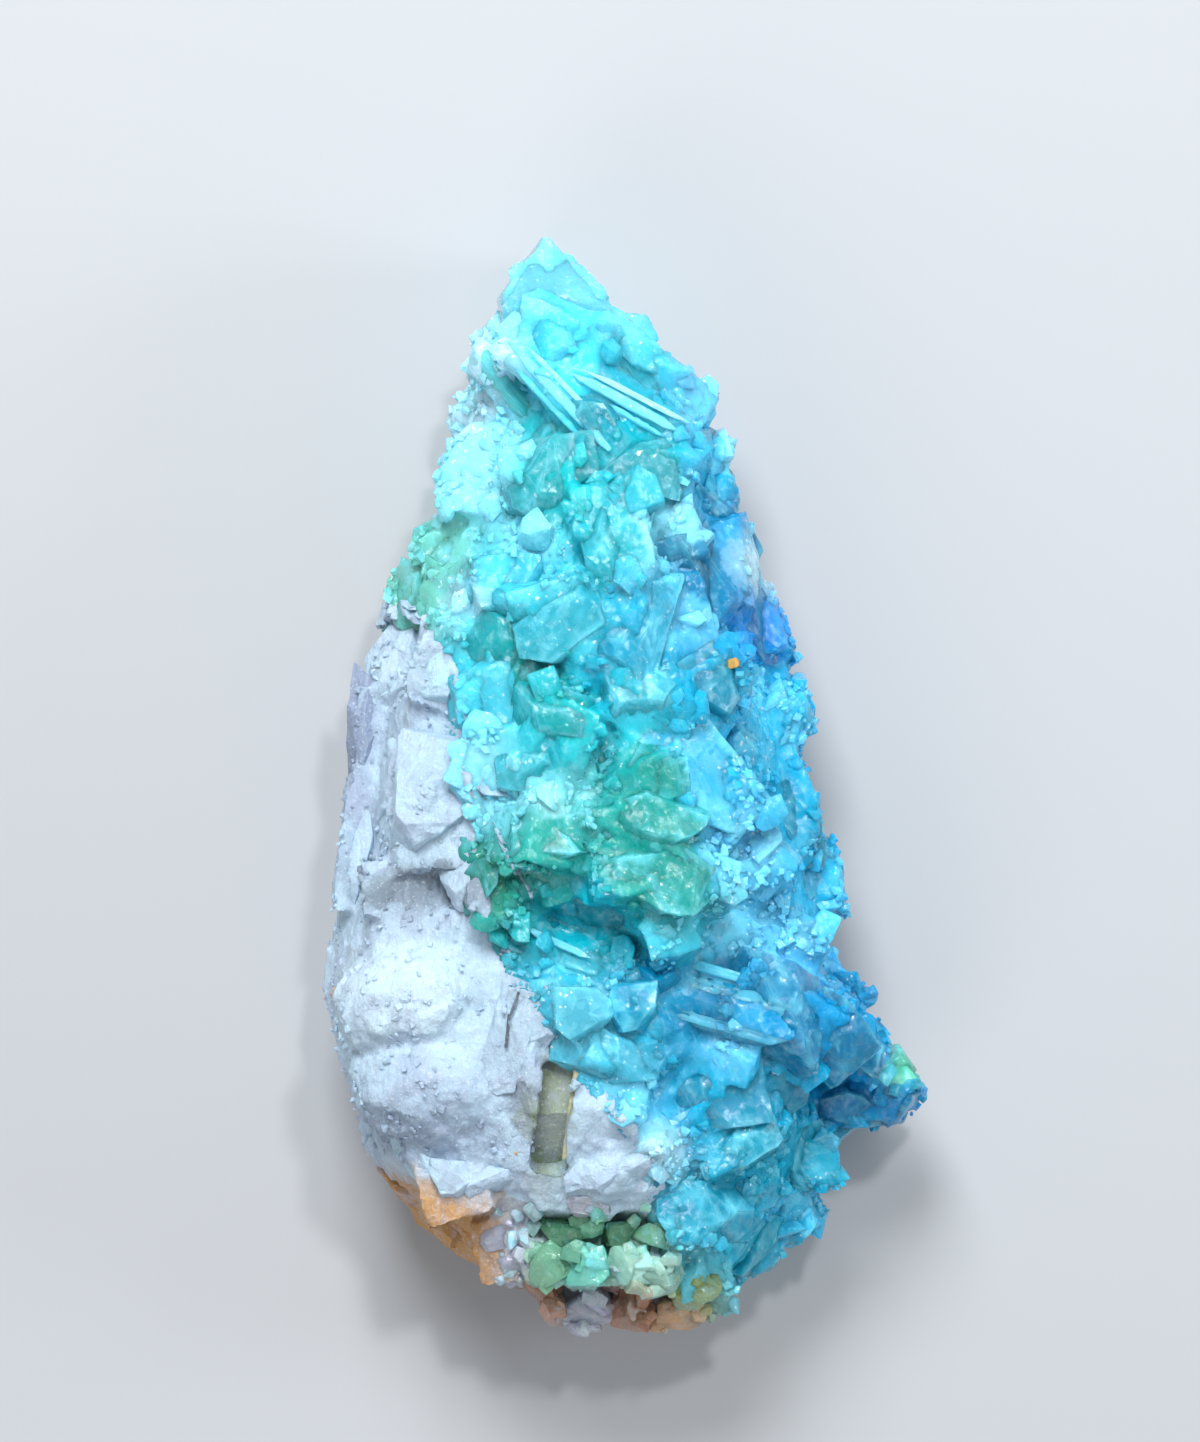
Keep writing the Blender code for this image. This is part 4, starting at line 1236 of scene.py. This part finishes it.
@dataclass
class NamedCrystals:
    """The crystals that can be told apart. They grow through one another, and each is modelled by itself."""

    surface: Surface
    skin: Surface
    tints: TintMap
    bevel: float = 0.06
    own: float = 0.8
    proud: float = 0.16
    frost: float = 0.45
    shade: float = 0.74

    def _unit(self, crystal: Crystal, rng: random.Random) -> bmesh.types.BMesh:
        """Makes a crystal's unit shape.

        Args:
            crystal: The crystal.
            rng: The source of chance.

        Returns:
            The shape.
        """
        if crystal.shape is Shape.PRISM:
            return prism_shape(rng, 36, 0.16)
        if crystal.shape is Shape.SPEAR:
            return spear_shape(rng)
        if crystal.shape is Shape.ROUND:
            return block_shape(rng, 18, 0.8, 0.96)
        if crystal.shape is Shape.SLAB:
            return block_shape(rng, 4, 0.9, 1.2)
        if crystal.shape is Shape.PLATE:
            return block_shape(rng, 3, 1.15, 1.35)
        return block_shape(rng, 11, 0.7, 0.96)

    def _modelled(self, crystal: Crystal, rng: random.Random, seed: float) -> bmesh.types.BMesh:
        """Models one crystal in its place.

        Args:
            crystal: The crystal.
            rng: The source of chance.
            seed: Sets its breaks apart from the next one's.

        Returns:
            The crystal, in millimetres.
        """
        bm = self._unit(crystal, rng)
        prism = crystal.shape is Shape.PRISM
        deep = min(crystal.half_x, crystal.half_y)
        deep = deep if prism else deep * 0.6 + 0.8
        bmesh.ops.scale(bm, vec=(crystal.half_x, crystal.half_y, deep), verts=bm.verts)
        straight = prism or crystal.shape is Shape.PLATE
        jog = (0.0, 0.0) if straight else (rng.uniform(-12, 12), rng.uniform(-12, 12))
        turned = Euler([math.radians(a) for a in (crystal.tilt + jog[0], jog[1], crystal.turn)])
        top = (self.surface if prism else self.skin).top(crystal.x, crystal.y)
        z = max(top.z - 0.8 * deep + crystal.lift, deep + 0.5)
        place = Matrix.Translation((crystal.x, crystal.y, z)) @ turned.to_matrix().to_4x4()
        bmesh.ops.transform(bm, matrix=place, verts=bm.verts)
        if prism:
            return bm
        self._shave(bm, crystal, top, rng)
        bmesh.ops.remove_doubles(bm, verts=bm.verts, dist=0.02)
        if straight:
            return bm
        bevel_all(bm, self.bevel, 1)
        bmesh.ops.triangulate(bm, faces=bm.faces)
        for longest, cuts in ((0.9, 2), (0.4, 1)):
            long_edges = [e for e in bm.edges if e.calc_length() > longest and e.verts[0].co.z > z - 0.4 * deep]
            bmesh.ops.subdivide_edges(bm, edges=long_edges, cuts=cuts, use_grid_fill=True)
            bmesh.ops.triangulate(bm, faces=bm.faces)
        shatter(bm, 1.5, 0.12, seed)
        shatter(bm, 0.7, 0.06, -seed)
        return bm

    def _shave(self, bm: bmesh.types.BMesh, crystal: Crystal, top: Vector, rng: random.Random) -> None:
        """Breaks a crystal off level with the rock round it.

        Args:
            bm: The crystal in its place, changed.
            crystal: The crystal.
            top: The rock's highest spot over its middle.
            rng: The source of chance.
        """
        spot, normal = self.skin.tree.find_nearest(top)[:2]
        level = crystal.lift
        if crystal.lift >= 0:
            level += max(-0.5, min(1.2, self.surface.gap_along(spot, normal, 2.5))) + self.proud
        face = spot + normal * level
        flat = crystal.shape is Shape.PLATE
        cut_off(bm, face, normal if flat else (normal + 0.12 * random_direction(rng)).normalized())
        if flat or crystal.shape is Shape.SLAB:
            return
        radius = 0.5 * (crystal.half_x + crystal.half_y)
        for _ in range(4):
            side = random_direction(rng).cross(normal).normalized()
            lean = math.radians(rng.uniform(8, 34))
            facing = normal * math.cos(lean) + side * math.sin(lean)
            cut_off(bm, face + side * (radius * rng.uniform(0.35, 0.85)), facing)

    def build(self, name: str, crystals: Iterable[Crystal]) -> bpy.types.Object:
        """Models a family of crystals as one piece.

        Args:
            name: The piece's name.
            crystals: The crystals in it.

        Returns:
            The piece.
        """
        parts = []
        for i, crystal in enumerate(crystals):
            rng = random.Random(f"{name}{i}")
            colour = varied(np.array((*crystal.tint.linear(), crystal.milk)), rng, 0.04)
            parts.append(Placed(mesh_of(self._modelled(crystal, rng, i * 3.7)), Matrix.Identity(4), colour))
        whole = gather(parts)
        layer = whole.verts.layers.float_color[TINT_LAYER]
        around = self.tints.at(np.array([v.co[:2] for v in whole.verts]))
        for vertex, place in zip(whole.verts, around):
            turn = max((edge.calc_face_angle(0.0) for edge in vertex.link_edges), default=0.0)
            patch = min(1.0, max(0.1, 0.6 + 1.2 * noise.noise(vertex.co / 1.1)))
            frost = self.frost * patch * min(1.0, max(0.0, (turn - 0.12) / 0.4))
            mixed = [self.own * a + (1 - self.own) * float(b) for a, b in zip(vertex[layer], place)]
            mixed[:3] = [self.shade * c for c in mixed[:3]]
            vertex[layer] = [a + frost * (b - a) for a, b in zip(mixed, FROST)]
        return object_of(name, whole, 9.0)


@dataclass
class Druse:
    """Many crystals of one size range, scattered over a side of the stone and grown through one another."""

    surface: Surface
    tints: Callable[[np.ndarray], np.ndarray]
    name: str
    smallest: float
    largest: float
    gap: float
    tries: int
    cuts: int
    sunk: float
    spread: float
    kinds: int = 24
    pale: float = 0.0
    bevel: float = 0.0
    lean: float = 0.6
    flat: float = 1.0

    def _kind(self, rng: random.Random) -> bpy.types.Mesh:
        """Returns a unit crystal that is copied many times."""
        bm = block_shape(rng, self.cuts, 0.68, 0.98)
        if self.bevel:
            bmesh.ops.remove_doubles(bm, verts=bm.verts, dist=0.05)
            bevel_all(bm, self.bevel, 1)
        return mesh_of(bm)

    def build(self, keep: Callable[[Vector, Vector], bool]) -> bpy.types.Object:
        """Models the crystals as one piece.

        Args:
            keep: Says of a spot and its normal whether a crystal may grow there.

        Returns:
            The piece.
        """
        rng = random.Random(self.name)
        shapes = [self._kind(rng) for _ in range(self.kinds)]
        found = list(self.surface.spots(self.tries, self.gap, rng, keep))
        colours = self.tints(np.array([spot[:] for spot, _ in found]))
        parts = []
        for (spot, normal), colour in zip(found, colours):
            size = self.smallest + (self.largest - self.smallest) * rng.random() ** 1.8
            half = Vector((size, size * rng.uniform(0.75, 1.5), self.flat * size * rng.uniform(0.6, 1.0)))
            upright = Vector((0, 0, 1)).rotation_difference(normal + self.lean * random_direction(rng))
            turned = upright @ Quaternion((0, 0, 1), rng.uniform(0, math.tau))
            matrix = Matrix.LocRotScale(spot - normal * (self.sunk * size), turned, half)
            colour = colour.copy()
            colour[3] = min(1.0, colour[3] + self.pale)
            parts.append(Placed(rng.choice(shapes), matrix, varied(colour, rng, self.spread)))
        return object_of(self.name, gather(parts))


@dataclass(frozen=True)
class Lamp:
    """An area light that points at the stone."""

    name: str
    place: tuple[float, float, float]
    size: float
    power: float
    colour: tuple[float, float, float] = (1.0, 1.0, 1.0)


@dataclass
class Studio:
    """The pale floor, the soft lights and the camera over the stone."""

    aim: tuple[float, float, float] = (-0.0012, 0.00355, 0.009)
    frame_height: float = 0.0787
    lens: float = 135.0
    sensor: float = 36.0
    floor_size: float = 3.0
    lamps: tuple[Lamp, ...] = field(
        default_factory=lambda: (
            Lamp("key", (-0.06, 0.26, 0.30), 0.14, 1.75, (0.94, 0.98, 1.0)),
            Lamp("side", (0.30, 0.02, 0.16), 0.10, 0.35, (0.9, 0.96, 1.0)),
            Lamp("glint", (0.07, 0.16, 0.36), 0.03, 0.5),
            Lamp("front", (-0.16, -0.28, 0.26), 0.22, 0.4),
        )
    )

    def floor(self) -> bpy.types.Object:
        """Returns the plain pale floor."""
        bm = bmesh.new()
        bmesh.ops.create_grid(bm, x_segments=1, y_segments=1, size=self.floor_size / 2)
        mesh = bpy.data.meshes.new("floor")
        bm.to_mesh(mesh)
        bm.free()
        floor = bpy.data.objects.new("floor", mesh)
        bpy.context.scene.collection.objects.link(floor)
        material = bpy.data.materials.new("pale_floor")
        material.use_nodes = True
        shader = material.node_tree.nodes["Principled BSDF"]
        shader.inputs["Base Color"].default_value = (0.44, 0.45, 0.47, 1)
        shader.inputs["Roughness"].default_value = 0.7
        mesh.materials.append(material)
        floor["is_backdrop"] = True
        return floor

    def light(self) -> None:
        """Hangs the lamps and sets the room's even light."""
        for lamp in self.lamps:
            data = bpy.data.lights.new(lamp.name, "AREA")
            data.size = lamp.size
            data.energy = lamp.power
            data.color = lamp.colour
            made = bpy.data.objects.new(lamp.name, data)
            bpy.context.scene.collection.objects.link(made)
            made.location = lamp.place
            away = Vector(lamp.place) - Vector(self.aim)
            made.rotation_euler = away.to_track_quat("Z", "Y").to_euler()
        world = bpy.data.worlds.new("room")
        world.use_nodes = True
        backdrop = world.node_tree.nodes["Background"]
        backdrop.inputs["Color"].default_value = (0.93, 0.96, 1.0, 1)
        backdrop.inputs["Strength"].default_value = 0.33
        bpy.context.scene.world = world

    def camera(self) -> None:
        """Sets the camera straight over the stone, with the same margins round it as in the photograph."""
        data = bpy.data.cameras.new("camera")
        data.lens = self.lens
        data.sensor_fit = "VERTICAL"
        data.sensor_height = self.sensor
        data.clip_start = 0.01
        made = bpy.data.objects.new("camera", data)
        bpy.context.scene.collection.objects.link(made)
        away = self.frame_height * self.lens / self.sensor
        made.location = Vector(self.aim) + Vector((0, 0, away))
        bpy.context.scene.camera = made

    def exposure(self) -> None:
        """Sets how the picture is developed."""
        scene = bpy.context.scene
        scene.view_settings.view_transform = "Standard"
        scene.view_settings.exposure = 0.0
        scene.cycles.use_denoising = True
        scene.cycles.max_bounces = 5
        scene.cycles.transmission_bounces = 4
        scene.cycles.sample_clamp_indirect = 4.0


def upper_side(spot: Vector, normal: Vector) -> bool:
    """Returns True on faces that don't look down, clear of the floor."""
    return spot.z > 0.8 and normal.z > -0.5


def main() -> None:
    """Builds every piece of the stone, then the studio round it."""
    logging.basicConfig(level=logging.INFO, format="%(name)s %(message)s")
    surface = Surface(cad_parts[NODE].data)
    tints = TintMap(POINT_CRYSTALS + GRAINS + PATCHES + FOOT_GRAINS)
    inner = crystal_group()
    chalky = chalk_group()
    clear = Finish(
        "clear_tourmaline", inner, {"Polish": 0.03}, transmission=0.16, subsurface=0.9, depth=1.6, coat=0.25, absorbed=0.3,
    ).material()
    milky = Finish(
        "milky_tourmaline", inner, {"Polish": 0.08}, subsurface=0.9, depth=1.2, coat=0.1
    ).material()
    massive = Finish("massive_tourmaline", inner, {"Polish": 0.1}, subsurface=0.9, depth=1.2).material()
    # On the top prisms the strong pale streaks are partly their striations and partly painted highlight lines along
    # them.
    striated = [
        Finish(
            f"striated_{place}_tourmaline", inner,
            {"Polish": 0.03, "Streaks": streaks, "Streak Turn": (0.0, 0.0, turn)},
            subsurface=0.9, depth=0.8, coat=0.3,
        ).material()
        for place, turn, streaks in (("top", 0.9, 0.9), ("recess", 1.28, 0.3))
    ]
    icy = Finish(
        "icy_tourmaline", inner, {"Polish": 0.06, "Facet Size": 0.6}, subsurface=0.5
    ).material()
    feldspar = Finish(
        "white_feldspar", chalky, {}, subsurface=0.35, radius=(1.0, 1.0, 1.1), depth=0.6, index=1.52
    ).material()

    rock = Rock(surface, tints)
    dress(rock.feldspar(), feldspar)
    dress(rock.crystal_mass(), massive)

    def among_crystals(spot: Vector, normal: Vector) -> bool:
        return upper_side(spot, normal) and not is_white(spot)

    named = NamedCrystals(surface, surface.skin(0.8, 6), tints)
    grains = POINT_CRYSTALS[1:] + GRAINS
    dress(named.build("point_crystal", POINT_CRYSTALS[:1]), clear)
    bright = NamedCrystals(surface, named.skin, tints, shade=0.98)
    dress(bright.build("top_prisms", TOP_PRISMS), striated[0])
    dress(named.build("recess_prisms", RECESS_PRISMS), striated[1])
    dress(named.build("clear_grains", (g for g in grains if g.milk < 0.25)), clear)
    dress(named.build("milky_grains", (g for g in grains if 0.25 <= g.milk < 0.6)), milky)

    def by_place(spots: np.ndarray) -> np.ndarray:
        return tints.at(spots[:, :2])

    smooth = [g for g in POINT_CRYSTALS[:1] + PRISMS + GRAINS if g.milk < 0.6]

    def on_smooth(spot: Vector) -> bool:
        return spot.y > 25.0 or any(
            ((spot.x - g.x) / g.half_x) ** 2 + ((spot.y - g.y) / g.half_y) ** 2 < 0.6 for g in smooth
        )

    def in_patches(spot: Vector, normal: Vector) -> bool:
        patchy = normal.z > 0.4 and noise.noise(spot / 1.9) > -0.1
        return patchy and among_crystals(spot, normal) and not on_smooth(spot)

    for name, top in (("upper", True), ("lower", False)):
        bits = Druse(
            surface, by_place, f"{name}_bits", 0.3, 1.0, 0.66, 12000, 12, 0.7, 0.08, 30,
            pale=0.08, bevel=0.05, lean=0.4, flat=0.8,
        )
        made = bits.build(lambda spot, normal, top=top: in_patches(spot, normal) and (spot.y > 0) is top)
        dress(made, icy)

    def on_flank(spot: Vector, normal: Vector) -> bool:
        steep = -0.3 < normal.z <= 0.4 and 0.8 < spot.z < 7.5 and spot.y < 24.0
        return steep and noise.noise(spot / 1.9) > -0.2 and not is_white(spot)

    flank = Druse(
        surface, by_place, "flank_bits", 0.35, 1.2, 0.85, 9000, 12, 0.75, 0.08, 24,
        pale=0.05, bevel=0.05, lean=0.35, flat=0.7,
    )
    dress(flank.build(on_flank), icy)

    def sugared(spot: Vector, normal: Vector) -> bool:
        patchy = noise.fractal(spot / 2.4, 1.0, 2.0, 2) > 0.0 and (spot.y < 17.0 or spot.x < -6.0)
        return patchy and among_crystals(spot, normal) and not on_smooth(spot)

    sugar = Druse(surface, by_place, "sugar_grains", 0.08, 0.26, 0.24, 24000, 5, 0.3, 0.14, pale=0.3)
    dress(sugar.build(sugared), icy)

    def on_white(spot: Vector, normal: Vector) -> bool:
        return upper_side(spot, normal) and is_white(spot) and spot.y > -20.0

    blocks = NamedCrystals(surface, named.skin, tints, own=1.0, proud=0.1, frost=0.0, shade=1.0)
    dress(blocks.build("feldspar_blocks", WHITE_BLOCKS), feldspar)
    dress(blocks.build("rust_specks", RUST_SPECKS), feldspar)
    foot = NamedCrystals(surface, named.skin, tints, own=1.0, proud=0.3, frost=0.0, shade=1.0)
    dress(foot.build("foot_grains", FOOT_GRAINS), clear)
    foot_tints = TintMap(FOOT_GRAINS)

    def on_foot(spot: Vector, normal: Vector) -> bool:
        return upper_side(spot, normal) and spot.y < -22.6 and -6.6 < spot.x < 5.0 and (spot.x < 2.8 or spot.y < -26.2)

    splinters = Druse(
        surface, lambda spots: foot_tints.at(spots[:, :2]), "foot_splinters", 0.2, 0.7, 0.5, 6000, 9, 0.6, 0.12, 20,
        pale=0.1, bevel=0.04, lean=0.5,
    )
    dress(splinters.build(on_foot), icy)
    crumbs = Druse(surface, feldspar_tints, "feldspar_crumbs", 0.07, 0.2, 0.24, 7000, 5, 1.0, 0.05)
    dress(crumbs.build(on_white), feldspar)

    studio = Studio()
    studio.floor()
    studio.light()
    studio.camera()
    studio.exposure()

    boxes = {"solid": SOLID_BOX, "visual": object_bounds()}
    {name: [list(map(float, corner)) for corner in box] for name, box in boxes.items()}


if __name__ == "__main__":
    main()
